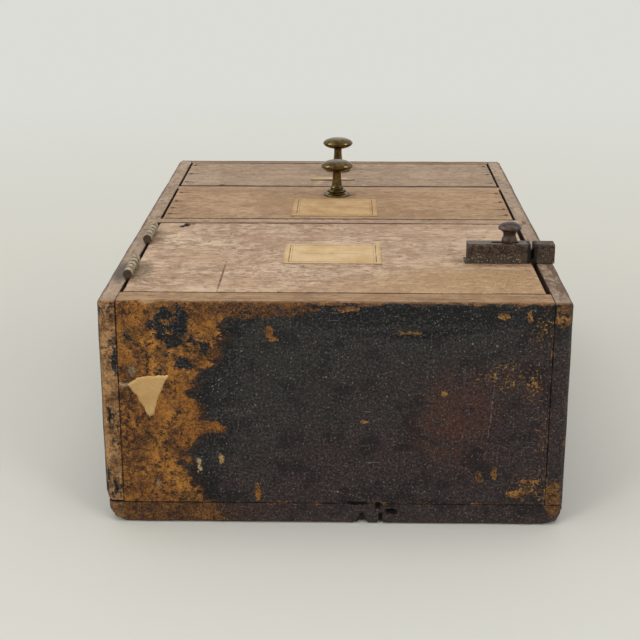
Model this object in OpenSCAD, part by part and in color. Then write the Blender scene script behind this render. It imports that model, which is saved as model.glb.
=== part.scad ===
// Small wooden apothecary cupboard: two drawers over a cupboard with a hinged, latched door.
// X runs to the right as seen from the front, the front faces -Y and Z is up.
// The origin is the middle of the underside of the base, halfway from front to back.

/* [Case] */
// Width over the sides
body_w = 254; // [200:1:320]
// Height over the base and the top
body_h = 381; // [365:1:440]
// Depth from the front edges to the outer face of the back
body_d = 129; // [110:1:180]
// Thickness of each side board
side_t = 10.4; // [8:0.2:14]
// Thickness of the base board
base_t = 17.5; // [10:0.5:22]
// Thickness of the top board
top_t = 9.7; // [7:0.1:15]
// Thickness of the back board
back_t = 12; // [8:0.5:16]
// Radius of the worn corners of the back and of the ends of the case
corner_r = 4.5; // [1:0.5:6]
// Radius of the worn front edges of the sides
arris_r = 2.4; // [0.5:0.1:4]
// Depth of the housings in the sides that hold the dividers
housing_d = 4; // [2:0.5:5]

/* [Divisions] */
// Height of the cupboard opening above the base board
door_opening_h = 158; // [140:1:180]
// Thickness of the divider over the cupboard
lower_divider_t = 10; // [6:0.5:14]
// Height of the lower drawer's opening
lower_opening_h = 95.3; // [90:0.1:110]
// Thickness of the divider between the drawers
upper_divider_t = 8; // [6:0.5:12]

/* [Case nails] */
// Length of a nail under its head
nail_len = 26; // [22:1:30]
// Diameter of a nail's shank
nail_d = 1.7; // [1.2:0.1:2.4]
// Diameter of a nail's head
nail_head_d = 3.4; // [2.8:0.1:4.5]
// Thickness of a nail's head
nail_head_t = 0.8; // [0.5:0.1:1.5]
// Distance of the outer nails from a board's front and back edges
nail_margin = 18; // [12:1:30]

/* [Door] */
// Thickness of the door
door_t = 10; // [8:0.5:14]
// Gap between the door and the left side
door_gap_hinge = 1.2; // [0.8:0.1:2]
// Gap between the door and the right side
door_gap_latch = 2.3; // [1:0.1:4]
// Gap above and below the door
door_gap_end = 0.8; // [0.4:0.1:2]
// Width of the strip that stops the door
stop_w = 6; // [4:0.5:10]
// Depth of the strip that stops the door
stop_d = 8; // [4:0.5:12]

/* [Hinges] */
// Length of each butt hinge
hinge_len = 33; // [30:1:44]
// Diameter of the hinge barrel
barrel_d = 5; // [3.6:0.1:6]
// Diameter of the hinge pin
pin_d = 2; // [1.4:0.1:2.4]
// Thickness of a hinge leaf
leaf_t = 1; // [0.8:0.1:1.4]
// Width of a hinge leaf let into the wood
leaf_w = 7.6; // [6:0.2:8]
// Height of the lower hinge's middle above the door's lower edge
lower_hinge_up = 39.2; // [30:0.1:54]
// Distance of the upper hinge's middle below the door's upper edge
upper_hinge_down = 38.7; // [24:0.1:46]
// Diameter of a hinge screw
hinge_screw_d = 1.8; // [1.4:0.1:2.2]
// Length of a hinge screw
hinge_screw_len = 7.5; // [5:0.5:8]

/* [Latch] */
// Length of the latch case
latch_len = 36.4; // [34:0.2:48]
// Width of the latch case, up the door
latch_w = 10.6; // [9:0.2:14]
// Height of the latch above the door
latch_h = 11.3; // [10:0.1:14]
// Thickness of the plate under the latch case
latch_plate_t = 1; // [0.8:0.1:1.6]
// Height of the latch's middle above the door's lower edge
latch_up = 65; // [20:0.5:110]
// Distance from the case's end to the door's latch edge
latch_inset = 1.4; // [0.5:0.1:4]
// Width of the sliding bolt
bolt_w = 4.6; // [3.6:0.1:5]
// Height of the sliding bolt
bolt_h = 6; // [5:0.1:6.5]
// Length of the sliding bolt
bolt_len = 23; // [19:0.5:24]
// How far the bolt draws back
bolt_draw = 9; // [5:0.5:9]
// How far the bolt slides on into its keeper
bolt_throw = 4; // [2:0.5:5]
// Distance of the latch knob from the latch end of the case
latch_knob_in = 12; // [9:0.1:13]
// Diameter of the latch knob's head
latch_knob_d = 13.6; // [10:0.2:18]
// Height of the latch knob
latch_knob_h = 12; // [10:0.2:16]
// Diameter of the latch knob's stem
latch_stem_d = 3; // [2:0.1:3.2]
// Diameter of the screws that hold the latch and the keeper
latch_screw_d = 1.8; // [1.4:0.1:2]

/* [Drawers] */
// Thickness of a drawer front
front_t = 10; // [8:0.5:14]
// Thickness of a drawer's sides
drawer_side_t = 6.5; // [5:0.5:9]
// Thickness of a drawer's back
drawer_back_t = 6.5; // [5:0.5:9]
// Thickness of a drawer's bottom
bottom_t = 4; // [3:0.5:6]
// Height of a drawer's bottom above its lower edge
bottom_up = 4; // [2:0.5:8]
// Depth of the grooves that hold a drawer's bottom
groove_d = 3; // [2:0.5:4]
// Gap on each side of a drawer
drawer_gap_side = 1.1; // [0.5:0.1:2]
// Gap above a drawer
drawer_gap_top = 1; // [0.5:0.1:2]

/* [Knobs] */
// Diameter of a drawer knob's head
knob_d = 22.6; // [16:0.2:26]
// Thickness of a drawer knob's head
knob_head_t = 7.6; // [4:0.2:10]
// Height of a drawer knob above the drawer front
knob_h = 24.6; // [20:0.2:32]
// Diameter of a drawer knob's stem
knob_stem_d = 5.9; // [5:0.1:8]
// Diameter of the knob's foot
knob_foot_d = 13.4; // [11:0.2:16]
// Diameter of the thin rose under the knob
rose_d = 19; // [17:0.2:24]
// Thickness of the thin rose under the knob
rose_t = 1.2; // [0.6:0.1:2]
// Diameter of the screw that holds a knob
knob_screw_d = 3; // [2.4:0.1:3.4]
// Distance of the lower knob below the drawer's upper edge
lower_knob_down = 21; // [14:0.5:26]
// Distance of the upper knob below the drawer's upper edge
upper_knob_down = 25; // [14:0.5:30]

/* [Labels] */
// Thickness of the paper
paper_t = 0.25; // [0.15:0.05:0.6]
// Width of the whole labels
label_w = 57.8; // [40:0.2:70]
// Height of the door's label
door_label_h = 44.5; // [30:0.5:60]
// Height of the door label's lower edge above the door's lower edge
door_label_up = 57.4; // [20:0.2:85]
// Height of the lower drawer's label
lower_label_h = 51; // [30:0.5:56]
// Height of the lower label's lower edge above the drawer's lower edge
lower_label_up = 8.1; // [2:0.1:20]
// Width of the scrap left of the upper drawer's label
upper_label_w = 33; // [20:0.5:60]
// Height of the scrap left of the upper drawer's label
upper_label_h = 19; // [10:0.5:24]
// Height of the scrap's lower edge above the drawer's lower edge
upper_label_up = 17.6; // [2:0.1:24]

/* [Hidden] */
$fn = 64;
// A cut runs this far past the face that it opens
past = 1;
// Radial clearance of a nail or screw in its hole
hole_clear = 0.04;
// Radial clearance of a hinge pin
pin_clear = 0.05;
// Clearance between sliding pieces
slide_clear = 0.2;
// Clearance under a drawer and behind it
seat_clear = 0.2;
// Clearance between turning hinge pieces
hinge_clear = 0.35;
// Clearance between the door and its stop
stop_clear = 0.25;
// Clearance of a label round a knob's rose
label_clear = 0.5;

// Planes of the case
y_front = -body_d / 2;
y_back = body_d / 2;
y_lining = y_back - back_t;
x_inner = body_w / 2 - side_t;
z_door_top = base_t + door_opening_h;
z_lower_opening = z_door_top + lower_divider_t;
z_lower_top = z_lower_opening + lower_opening_h;
z_upper_opening = z_lower_top + upper_divider_t;
z_upper_top = body_h - top_t;
case_depth = y_lining - y_front;

// Case nails: each board between the sides has a row, and so has each edge behind the back
row_ys = [y_front + nail_margin, (y_front + y_lining) / 2, y_lining - nail_margin];
base_row_z = base_t / 2;
lower_row_z = z_door_top + lower_divider_t / 2;
upper_row_z = z_lower_top + upper_divider_t / 2;
top_row_z = body_h - top_t / 2;
back_row_zs = [
    base_t + door_opening_h / 4,
    base_t + door_opening_h * 3 / 4,
    (z_lower_opening + z_lower_top) / 2,
    (z_upper_opening + z_upper_top) / 2
];
back_row_x = body_w / 2 - side_t / 2;
back_board_x = body_w / 4;

// The door and its hinges
door_left = -x_inner + door_gap_hinge;
door_right = x_inner - door_gap_latch;
door_bottom = base_t + door_gap_end;
door_top = z_door_top - door_gap_end;
hinge_x = -x_inner + door_gap_hinge / 2;
hinge_y = y_front - barrel_d / 2 - hinge_clear;
lower_hinge_z = door_bottom + lower_hinge_up;
upper_hinge_z = door_top - upper_hinge_down;
knuckles = 5;
knuckle_len = (hinge_len - (knuckles - 1) * hinge_clear) / knuckles;
hinge_head_d = hinge_screw_d * 2;
hinge_screw_rise = hinge_len * 0.36;
pin_head_d = pin_d + 1.4;
pin_head_t = 0.8;

// The latch
latch_z = door_bottom + latch_up;
latch_right = door_right - latch_inset;
latch_left = latch_right - latch_len;
latch_knob_x = latch_right - latch_knob_in;
plate_lip = 1.5;
case_base_y = y_front - latch_plate_t;
latch_face_y = y_front - latch_h;
case_chamfer = 1;
keeper_gap = 0.6;
keeper_left = door_right + keeper_gap;
bolt_tip_clear = 0.4;
bolt_tip = keeper_left - bolt_tip_clear;
bolt_left = bolt_tip - bolt_len;
bolt_y = case_base_y - slide_clear - bolt_h;
channel_left = bolt_left - bolt_draw - slide_clear;
channel_h = bolt_h + 2 * slide_clear;
channel_w = bolt_w + 2 * slide_clear;
bolt_nose = 1.6;
spring_len = 15;
spring_w = 3;
spring_t = 0.4;
spring_rise = 0.5;
spring_left = bolt_left + 2;
spring_pocket = spring_t + spring_rise + slide_clear;
stem_hole_d = latch_stem_d + 2 * hole_clear;
stem_rest = 2.5;
stem_len = latch_h - latch_plate_t - stem_rest;
keeper_clear = 0.5;
keeper_pocket = bolt_throw + 2 * keeper_clear;
latch_screw_head_d = latch_screw_d * 2;
latch_screw_head_t = latch_screw_d * 0.6;
latch_screw_inset = 3;
latch_screw_x = [(latch_left + channel_left) / 2, latch_right - latch_screw_inset];
latch_screw_z = [latch_z, latch_z + (latch_w + channel_w) / 4];
latch_screw_bite = 5;
keeper_screw_x = (keeper_left + keeper_pocket + body_w / 2) / 2;
keeper_screw_bite = 14;

// The drawers: the lower one first, the upper one second
drawer_z = [z_lower_opening + seat_clear, z_upper_opening + seat_clear];
drawer_h = [
    lower_opening_h - drawer_gap_top - seat_clear,
    z_upper_top - z_upper_opening - drawer_gap_top - seat_clear
];
drawer_w = 2 * (x_inner - drawer_gap_side);
drawer_len = case_depth - seat_clear;
drawer_back_y = y_front + drawer_len;
front_back_y = y_front + front_t;
knob_z = [
    drawer_z[0] + drawer_h[0] - lower_knob_down,
    drawer_z[1] + drawer_h[1] - upper_knob_down
];
knob_x = -1;
knob_hole_depth = 10;
knob_screw_head_d = knob_screw_d * 2;
knob_screw_head_t = knob_screw_d * 0.6;
foot_neck_t = 1.1;
foot_neck_in = 1.3;
foot_t = 2.7;
collar_d = 9.4;
collar_t = 2.2;
flare_h = 6;
flare_w = 0.5;
rim_t = 1.8;
drawer_nail_bite = 12;
drawer_nail_d = 1.3;
drawer_nail_head_d = 2.4;
drawer_nail_head_t = 0.6;
front_nail_x = drawer_w / 2 - drawer_side_t / 2;
nail_floor = bottom_up + bottom_t + drawer_nail_d;
front_nail_shares = [[0.05, 0.25, 0.5, 0.82], [0.02, 0.44, 0.88]];
back_nail_shares = [0.3, 0.7];
back_nail_y = drawer_back_y - drawer_back_t / 2;

// The labels: the whole ones, and the scrap
label_x = -2;
scrap_x = -4.6;

case_paint = "#4a3329";
bare_front = "#b08d72";
inner_wood = "#b99a74";
old_brass = "#8a7440";
old_iron = "#3b312c";
hinge_metal = "#8d8272";
old_paper = "#d8bd8c";

// Box from one corner to the other
module box(low, high) {
    translate(low) cube(high - low);
}

// Turns +Z to point along +Y
module along_y() {
    rotate([-90, 0, 0]) children();
}

// Turns +Z to point along -Y, out of the front
module out_of_front() {
    rotate([90, 0, 0]) children();
}

// What rounding off an edge along Z takes away, the edge at the origin and the solid at +X, +Y
module edge_waste(r, len) {
    difference() {
        translate([-past, -past, -past]) cube([r + past, r + past, len + 2 * past]);
        translate([r, r, -2 * past]) cylinder(r = r, h = len + 4 * past);
    }
}

// Nail or its hole: head face at the origin, pointing along +Z
module nail(d, head_d, head_t, len, grow = 0) {
    translate([0, 0, -(grow > 0 ? past : 0)])
        cylinder(d = head_d + 2 * grow, h = head_t + (grow > 0 ? past : 0));
    cylinder(d = d + 2 * grow, h = len + grow);
}

// Countersunk screw or its hole: head face at the origin, pointing along +Z
module screw(d, head_d, head_t, len, grow = 0) {
    difference() {
        union() {
            cylinder(d1 = head_d + 2 * grow, d2 = d + 2 * grow, h = head_t);
            cylinder(d = d + 2 * grow, h = len + grow);
            if (grow > 0) translate([0, 0, -past]) cylinder(d = head_d + 2 * grow, h = past);
        }
        if (grow == 0) {
            slot_w = d * 0.3;
            slot_d = head_t * 0.4;
            translate([-head_d, -slot_w / 2, -past]) cube([2 * head_d, slot_w, past + slot_d]);
        }
    }
}

// Nails through one side (-1 left, 1 right) into the end of the board at height z
module side_nails(side, z, grow = 0) {
    for (y = row_ys)
        translate([side * body_w / 2, y, z])
            rotate([0, -side * 90, 0])
                nail(nail_d, nail_head_d, nail_head_t, nail_len, grow);
}

// One nail through the back board
module back_nail(x, z, grow = 0) {
    translate([x, y_back, z])
        out_of_front() nail(nail_d, nail_head_d, nail_head_t, nail_len, grow);
}

module back_nails_in_side(side, grow = 0) {
    for (z = back_row_zs) back_nail(side * back_row_x, z, grow);
}

module back_nails_in_board(z, grow = 0) {
    for (side = [-1, 1]) back_nail(side * back_board_x, z, grow);
}

// Worn corners on the outside of the left side, along the front and round both ends
module left_corner_waste() {
    translate([-body_w / 2, y_front, 0]) edge_waste(arris_r, body_h);
    left_end_waste();
}

// Worn corners over and under the left side, from front to back
module left_end_waste() {
    translate([-body_w / 2, y_back, 0]) rotate([90, 0, 0]) edge_waste(corner_r, body_d);
    translate([-body_w / 2, y_front, body_h]) rotate([-90, 0, 0]) edge_waste(corner_r, body_d);
}

// Left side board before it is cut for its fittings
module plain_left_side() {
    difference() {
        box([-body_w / 2, y_front, 0], [-x_inner, y_lining, body_h]);
        left_corner_waste();
        for (span = [[z_door_top, z_lower_opening], [z_lower_top, z_upper_opening]])
            box(
                [-x_inner - housing_d, y_front - past, span[0]],
                [-x_inner + past, y_lining + past, span[1]]
            );
        for (z = [base_row_z, lower_row_z, upper_row_z, top_row_z]) side_nails(-1, z, hole_clear);
        back_nails_in_side(-1, hole_clear);
    }
}

module left_side() {
    color(case_paint)
        difference() {
            plain_left_side();
            for (z = [lower_hinge_z, upper_hinge_z]) {
                box(
                    [-x_inner - leaf_t, y_front - past, z - hinge_len / 2],
                    [-x_inner + past, y_front + leaf_w, z + hinge_len / 2]
                );
                frame_leaf_screws(z, hole_clear);
            }
        }
}

module right_side() {
    color(case_paint)
        difference() {
            mirror([1, 0, 0]) plain_left_side();
            keeper_screw_body(hole_clear);
        }
}

module base_board() {
    color(case_paint)
        difference() {
            box([-x_inner, y_front, 0], [x_inner, y_lining, base_t]);
            for (side = [-1, 1]) side_nails(side, base_row_z, hole_clear);
            back_nails_in_board(base_row_z, hole_clear);
        }
}

module top_board() {
    color(case_paint)
        difference() {
            box([-x_inner, y_front, z_upper_top], [x_inner, y_lining, body_h]);
            for (side = [-1, 1]) side_nails(side, top_row_z, hole_clear);
            back_nails_in_board(top_row_z, hole_clear);
        }
}

module back_board() {
    color(case_paint)
        difference() {
            box([-body_w / 2, y_lining, 0], [body_w / 2, y_back, body_h]);
            for (flip = [0, 1])
                mirror([flip, 0, 0]) {
                    left_end_waste();
                    translate([-body_w / 2, y_back, 0]) rotate([0, 0, -90]) edge_waste(corner_r, body_h);
                }
            for (side = [-1, 1]) back_nails_in_side(side, hole_clear);
            for (z = [base_row_z, top_row_z]) back_nails_in_board(z, hole_clear);
        }
}

// Divider let into both sides
module divider(low, high, row_z) {
    color(bare_front)
        difference() {
            box(
                [-x_inner - housing_d, y_front, low],
                [x_inner + housing_d, y_lining, high]
            );
            for (side = [-1, 1]) side_nails(side, row_z, hole_clear);
        }
}

module lower_divider() {
    divider(z_door_top, z_lower_opening, lower_row_z);
}

module upper_divider() {
    divider(z_lower_top, z_upper_opening, upper_row_z);
}

// Strip on the right side that the closed door meets
module door_stop() {
    stop_y = y_front + door_t + stop_clear;
    color(inner_wood)
        box([x_inner - stop_w, stop_y, base_t], [x_inner, stop_y + stop_d, z_door_top]);
}

module case_nails() {
    color(old_iron) {
        for (side = [-1, 1]) {
            for (z = [base_row_z, lower_row_z, upper_row_z, top_row_z]) side_nails(side, z);
            back_nails_in_side(side);
        }
        for (z = [base_row_z, top_row_z]) back_nails_in_board(z);
    }
}

// Knuckles of a hinge at height z, counted from its lower end, with a strip to the leaf at x
module hinge_knuckles(z, picks, leaf_x) {
    for (i = picks)
        translate([0, 0, z - hinge_len / 2 + i * (knuckle_len + hinge_clear)]) {
            translate([hinge_x, hinge_y, 0]) cylinder(d = barrel_d, h = knuckle_len);
            box([leaf_x, hinge_y, 0], [leaf_x + leaf_t, y_front, knuckle_len]);
        }
}

// Butt hinge leaf with its knuckles, the leaf's lower x at leaf_x
module hinge_leaf(z, picks, leaf_x) {
    difference() {
        union() {
            box([leaf_x, y_front, z - hinge_len / 2], [leaf_x + leaf_t, y_front + leaf_w, z + hinge_len / 2]);
            hinge_knuckles(z, picks, leaf_x);
        }
        translate([hinge_x, hinge_y, z - hinge_len / 2 - past])
            cylinder(d = pin_d + 2 * pin_clear, h = hinge_len + 2 * past);
    }
}

module frame_leaf(z) {
    color(hinge_metal)
        difference() {
            hinge_leaf(z, [0, 2, 4], -x_inner - leaf_t);
            frame_leaf_screws(z, hole_clear);
        }
}

module door_leaf(z) {
    color(hinge_metal)
        difference() {
            hinge_leaf(z, [1, 3], door_left);
            door_leaf_screws(z, hole_clear);
        }
}

// Screws of one leaf, from x along a direction of +1 or -1
module leaf_screws(x, z, way, grow) {
    for (step = [-1, 0, 1])
        translate([x, y_front + leaf_w / 2, z + step * hinge_screw_rise])
            rotate([0, way * 90, 0])
                screw(hinge_screw_d, hinge_head_d, leaf_t, hinge_screw_len, grow);
}

module frame_leaf_screws(z, grow = 0) {
    leaf_screws(-x_inner, z, -1, grow);
}

module door_leaf_screws(z, grow = 0) {
    leaf_screws(door_left, z, 1, grow);
}

module lower_hinge_frame_leaf() {
    frame_leaf(lower_hinge_z);
}

module upper_hinge_frame_leaf() {
    frame_leaf(upper_hinge_z);
}

module lower_hinge_door_leaf() {
    door_leaf(lower_hinge_z);
}

module upper_hinge_door_leaf() {
    door_leaf(upper_hinge_z);
}

// Hinge pin with a button head on the upper end
module hinge_pin(z) {
    color(hinge_metal)
        translate([hinge_x, hinge_y, z - hinge_len / 2]) {
            cylinder(d = pin_d, h = hinge_len + pin_head_t);
            translate([0, 0, hinge_len]) cylinder(d = pin_head_d, h = pin_head_t);
        }
}

module lower_hinge_pin() {
    hinge_pin(lower_hinge_z);
}

module upper_hinge_pin() {
    hinge_pin(upper_hinge_z);
}

module hinge_frame_screws() {
    color(old_iron)
        for (z = [lower_hinge_z, upper_hinge_z]) frame_leaf_screws(z);
}

module hinge_door_screws() {
    color(old_iron)
        for (z = [lower_hinge_z, upper_hinge_z]) door_leaf_screws(z);
}

// Bar of the latch's section from x to x, the long front edges chamfered
module latch_bar(left, right, base_y) {
    half = latch_w / 2;
    translate([left, 0, latch_z])
        rotate([90, 0, 90])
            linear_extrude(height = right - left)
                polygon([
                    [base_y, -half],
                    [latch_face_y + case_chamfer, -half],
                    [latch_face_y, -half + case_chamfer],
                    [latch_face_y, half - case_chamfer],
                    [latch_face_y + case_chamfer, half],
                    [base_y, half]
                ]);
}

// Box round the bolt's section, its faces moved out by grow
module bolt_space(left, right, grow) {
    box(
        [left, bolt_y - grow, latch_z - bolt_w / 2 - grow],
        [right, bolt_y + bolt_h + grow, latch_z + bolt_w / 2 + grow]
    );
}

module keeper_screw_body(grow = 0) {
    translate([keeper_screw_x, latch_face_y, latch_z])
        along_y()
            screw(
                latch_screw_d, latch_screw_head_d, latch_screw_head_t,
                latch_h + keeper_screw_bite, grow
            );
}

module latch_keeper() {
    color(old_iron)
        difference() {
            latch_bar(keeper_left, body_w / 2, y_front);
            bolt_space(keeper_left - past, keeper_left + keeper_pocket, keeper_clear);
            keeper_screw_body(hole_clear);
        }
}

module keeper_screw() {
    color(old_iron) keeper_screw_body();
}

// Screws from inside the door into the latch case
module latch_screw_bodies(grow = 0) {
    for (i = [0, 1])
        translate([latch_screw_x[i], y_front + door_t, latch_screw_z[i]])
            out_of_front()
                screw(
                    latch_screw_d, latch_screw_head_d, latch_screw_head_t,
                    door_t + latch_plate_t + latch_screw_bite, grow
                );
}

module door_panel() {
    color(bare_front)
        difference() {
            box([door_left, y_front, door_bottom], [door_right, y_front + door_t, door_top]);
            for (z = [lower_hinge_z, upper_hinge_z]) {
                box(
                    [door_left - past, y_front - past, z - hinge_len / 2],
                    [door_left + leaf_t, y_front + leaf_w, z + hinge_len / 2]
                );
                door_leaf_screws(z, hole_clear);
            }
            latch_screw_bodies(hole_clear);
        }
}

module latch_plate() {
    color(old_iron)
        difference() {
            box(
                [latch_left - plate_lip, case_base_y, latch_z - latch_w / 2],
                [latch_right, y_front, latch_z + latch_w / 2]
            );
            latch_screw_bodies(hole_clear);
        }
}

// Slot that the latch knob's stem slides along
module stem_slot() {
    slot_d = latch_stem_d + 2 * slide_clear;
    slot_h = latch_h;
    left = latch_knob_x - bolt_draw;
    right = latch_knob_x + bolt_throw;
    for (x = [left, right])
        translate([x, bolt_y, latch_z]) out_of_front() cylinder(d = slot_d, h = slot_h);
    box([left, bolt_y - slot_h, latch_z - slot_d / 2], [right, bolt_y, latch_z + slot_d / 2]);
}

module latch_case() {
    color(old_iron)
        difference() {
            latch_bar(latch_left, latch_right, case_base_y);
            box(
                [channel_left, case_base_y - channel_h, latch_z - channel_w / 2],
                [latch_right + past, case_base_y + past, latch_z + channel_w / 2]
            );
            stem_slot();
            latch_screw_bodies(hole_clear);
        }
}

module latch_screws() {
    color(old_iron) latch_screw_bodies();
}

// Bolt with a bevelled nose, a hole for the knob's stem and a pocket for its spring
module latch_bolt() {
    color(old_iron)
        difference() {
            bolt_space(bolt_left, bolt_tip, 0);
            translate([bolt_tip, bolt_y + bolt_h, latch_z])
                rotate([0, 0, 45])
                    cube([bolt_nose, bolt_nose * 2, bolt_w * 2], center = true);
            translate([latch_knob_x, bolt_y + bolt_h + past, latch_z])
                out_of_front() cylinder(d = stem_hole_d, h = bolt_h + 2 * past);
            translate([spring_left, bolt_y + bolt_h, latch_z])
                box(
                    [-slide_clear, -spring_pocket, -spring_w / 2 - slide_clear],
                    [spring_len + slide_clear, past, spring_w / 2 + slide_clear]
                );
        }
}

// Bowed leaf spring in the bolt's pocket, which holds the bolt where it is put
module latch_spring() {
    spring_r = (pow(spring_len / 2, 2) + pow(spring_rise, 2)) / (2 * spring_rise);
    spring_arc = 2 * asin(spring_len / 2 / spring_r);
    spring_top = bolt_y + bolt_h - spring_t - spring_rise;
    color(hinge_metal)
        translate([spring_left + spring_len / 2, spring_top + spring_r, latch_z - spring_w / 2])
            rotate([0, 0, -90 - spring_arc / 2])
                rotate_extrude(angle = spring_arc)
                    translate([spring_r - spring_t, 0]) square([spring_t, spring_w]);
}

// Turned iron knob whose stem slides in the latch's slot and screws into the bolt
module latch_knob() {
    foot_d = latch_knob_d * 0.68;
    waist_d = latch_knob_d * 0.55;
    foot_h = latch_knob_h * 0.16;
    waist_h = latch_knob_h * 0.42;
    rim_h = latch_knob_h * 0.66;
    dome_h = latch_knob_h - rim_h;
    dome_step = 9;
    color(old_iron)
        translate([latch_knob_x, latch_face_y - slide_clear, latch_z])
            out_of_front() {
                rotate_extrude()
                    polygon(concat(
                        [
                            [0, 0],
                            [foot_d * 0.46, 0],
                            [foot_d / 2, foot_h],
                            [(foot_d + waist_d) / 4, (foot_h + waist_h) / 2],
                            [waist_d / 2, waist_h],
                            [latch_knob_d * 0.44, rim_h - dome_h * 0.26]
                        ],
                        [
                            for (turn = [0:dome_step:89])
                                [latch_knob_d / 2 * cos(turn), rim_h + dome_h * sin(turn)]
                        ],
                        [[0, latch_knob_h]]
                    ));
                translate([0, 0, -stem_len - slide_clear])
                    cylinder(d = latch_stem_d, h = stem_len + slide_clear + past);
            }
}

// Rectangle of paper on the front plane
module paper(middle, low, w, h) {
    box([middle - w / 2, y_front - paper_t, low], [middle + w / 2, y_front, low + h]);
}

// Paper on the front of drawer i, cut to go round the knob's rose
module drawer_paper(i, middle, up, w, h) {
    color(old_paper)
        difference() {
            paper(middle, drawer_z[i] + up, w, h);
            translate([knob_x, y_front + past, knob_z[i]])
                out_of_front() cylinder(d = rose_d + 2 * label_clear, h = paper_t + 2 * past);
        }
}

module door_label() {
    color(old_paper) paper(label_x, door_bottom + door_label_up, label_w, door_label_h);
}

module lower_drawer_label() {
    drawer_paper(0, label_x, lower_label_up, label_w, lower_label_h);
}

module upper_drawer_label() {
    drawer_paper(1, scrap_x, upper_label_up, upper_label_w, upper_label_h);
}

// Nails of drawer i: through the front into the sides, and through the sides into the back
module drawer_nail_set(i, grow = 0) {
    room = drawer_h[i] - nail_floor;
    for (side = [-1, 1]) {
        for (share = front_nail_shares[i])
            translate([side * front_nail_x, y_front, drawer_z[i] + nail_floor + share * room])
                along_y()
                    nail(
                        drawer_nail_d, drawer_nail_head_d, drawer_nail_head_t,
                        front_t + drawer_nail_bite, grow
                    );
        for (share = back_nail_shares)
            translate([side * drawer_w / 2, back_nail_y, drawer_z[i] + nail_floor + share * room])
                rotate([0, -side * 90, 0])
                    nail(
                        drawer_nail_d, drawer_nail_head_d, drawer_nail_head_t,
                        drawer_side_t + drawer_nail_bite, grow
                    );
    }
}

// Bottom of drawer i, which also cuts the grooves that hold it
module bottom_board(i) {
    half = drawer_w / 2 - drawer_side_t + groove_d;
    low = drawer_z[i] + bottom_up;
    box([-half, front_back_y - groove_d, low], [half, drawer_back_y, low + bottom_t]);
}

module knob_screw_body(i, grow = 0) {
    translate([knob_x, front_back_y, knob_z[i]])
        out_of_front()
            screw(
                knob_screw_d, knob_screw_head_d, knob_screw_head_t,
                front_t + rose_t + knob_hole_depth, grow
            );
}

module drawer_front(i) {
    color(bare_front)
        difference() {
            box(
                [-drawer_w / 2, y_front, drawer_z[i]],
                [drawer_w / 2, front_back_y, drawer_z[i] + drawer_h[i]]
            );
            bottom_board(i);
            drawer_nail_set(i, hole_clear);
            knob_screw_body(i, hole_clear);
        }
}

// Side of drawer i, -1 left and 1 right
module drawer_side(i, side) {
    outer = side * drawer_w / 2;
    inner = side * (drawer_w / 2 - drawer_side_t);
    color(inner_wood)
        difference() {
            box(
                [min(outer, inner), front_back_y, drawer_z[i]],
                [max(outer, inner), drawer_back_y, drawer_z[i] + drawer_h[i]]
            );
            bottom_board(i);
            drawer_nail_set(i, hole_clear);
        }
}

module drawer_back(i) {
    half = drawer_w / 2 - drawer_side_t;
    color(inner_wood)
        difference() {
            box(
                [-half, drawer_back_y - drawer_back_t, drawer_z[i] + bottom_up + bottom_t],
                [half, drawer_back_y, drawer_z[i] + drawer_h[i]]
            );
            drawer_nail_set(i, hole_clear);
        }
}

module drawer_bottom(i) {
    color(inner_wood) bottom_board(i);
}

module drawer_nails(i) {
    color(old_iron) drawer_nail_set(i);
}

// Thin pressed brass disc under a knob
module drawer_rose(i) {
    color(old_brass)
        difference() {
            translate([knob_x, y_front, knob_z[i]]) out_of_front() cylinder(d = rose_d, h = rose_t);
            knob_screw_body(i, hole_clear);
        }
}

// Half section of a knob's head: two shallow arcs and a rounded rim, its middle at the origin
module head_section() {
    half_t = knob_head_t / 2;
    rim_x = knob_d / 2 - rim_t / 2;
    arc_r = (pow(rim_x, 2) + pow(half_t - rim_t / 2, 2)) / (2 * (half_t - rim_t / 2));
    intersection() {
        translate([0, half_t - arc_r]) circle(r = arc_r, $fn = 180);
        translate([0, arc_r - half_t]) circle(r = arc_r, $fn = 180);
        translate([0, -half_t]) square([rim_x, knob_head_t]);
    }
    translate([rim_x, 0]) circle(d = rim_t);
}

// Turned brass knob, its foot on the rose
module drawer_knob(i) {
    head_mid = knob_h - knob_head_t / 2;
    foot_top = rose_t + foot_t;
    collar_mid = foot_top + collar_t / 2;
    collar_top = foot_top + collar_t;
    collar_x = collar_d / 2 - collar_t / 2;
    color(old_brass)
        difference() {
            translate([knob_x, y_front, knob_z[i]])
                out_of_front()
                    rotate_extrude() {
                        translate([0, head_mid]) head_section();
                        translate([0, rose_t]) square([knob_foot_d / 2 - foot_neck_in, foot_neck_t]);
                        translate([0, rose_t + foot_neck_t]) square([knob_foot_d / 2, foot_t - foot_neck_t]);
                        translate([0, foot_top]) square([collar_x, collar_t]);
                        translate([collar_x, collar_mid]) circle(d = collar_t);
                        translate([0, collar_top]) square([knob_stem_d / 2, head_mid - collar_top]);
                        polygon([
                            [0, collar_mid],
                            [collar_x, collar_mid],
                            [knob_stem_d / 2 + flare_w, collar_top + flare_h * 0.3],
                            [knob_stem_d / 2, collar_top + flare_h],
                            [0, collar_top + flare_h]
                        ]);
                    }
            knob_screw_body(i, hole_clear);
        }
}

module drawer_knob_screw(i) {
    color(old_iron) knob_screw_body(i);
}

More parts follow.
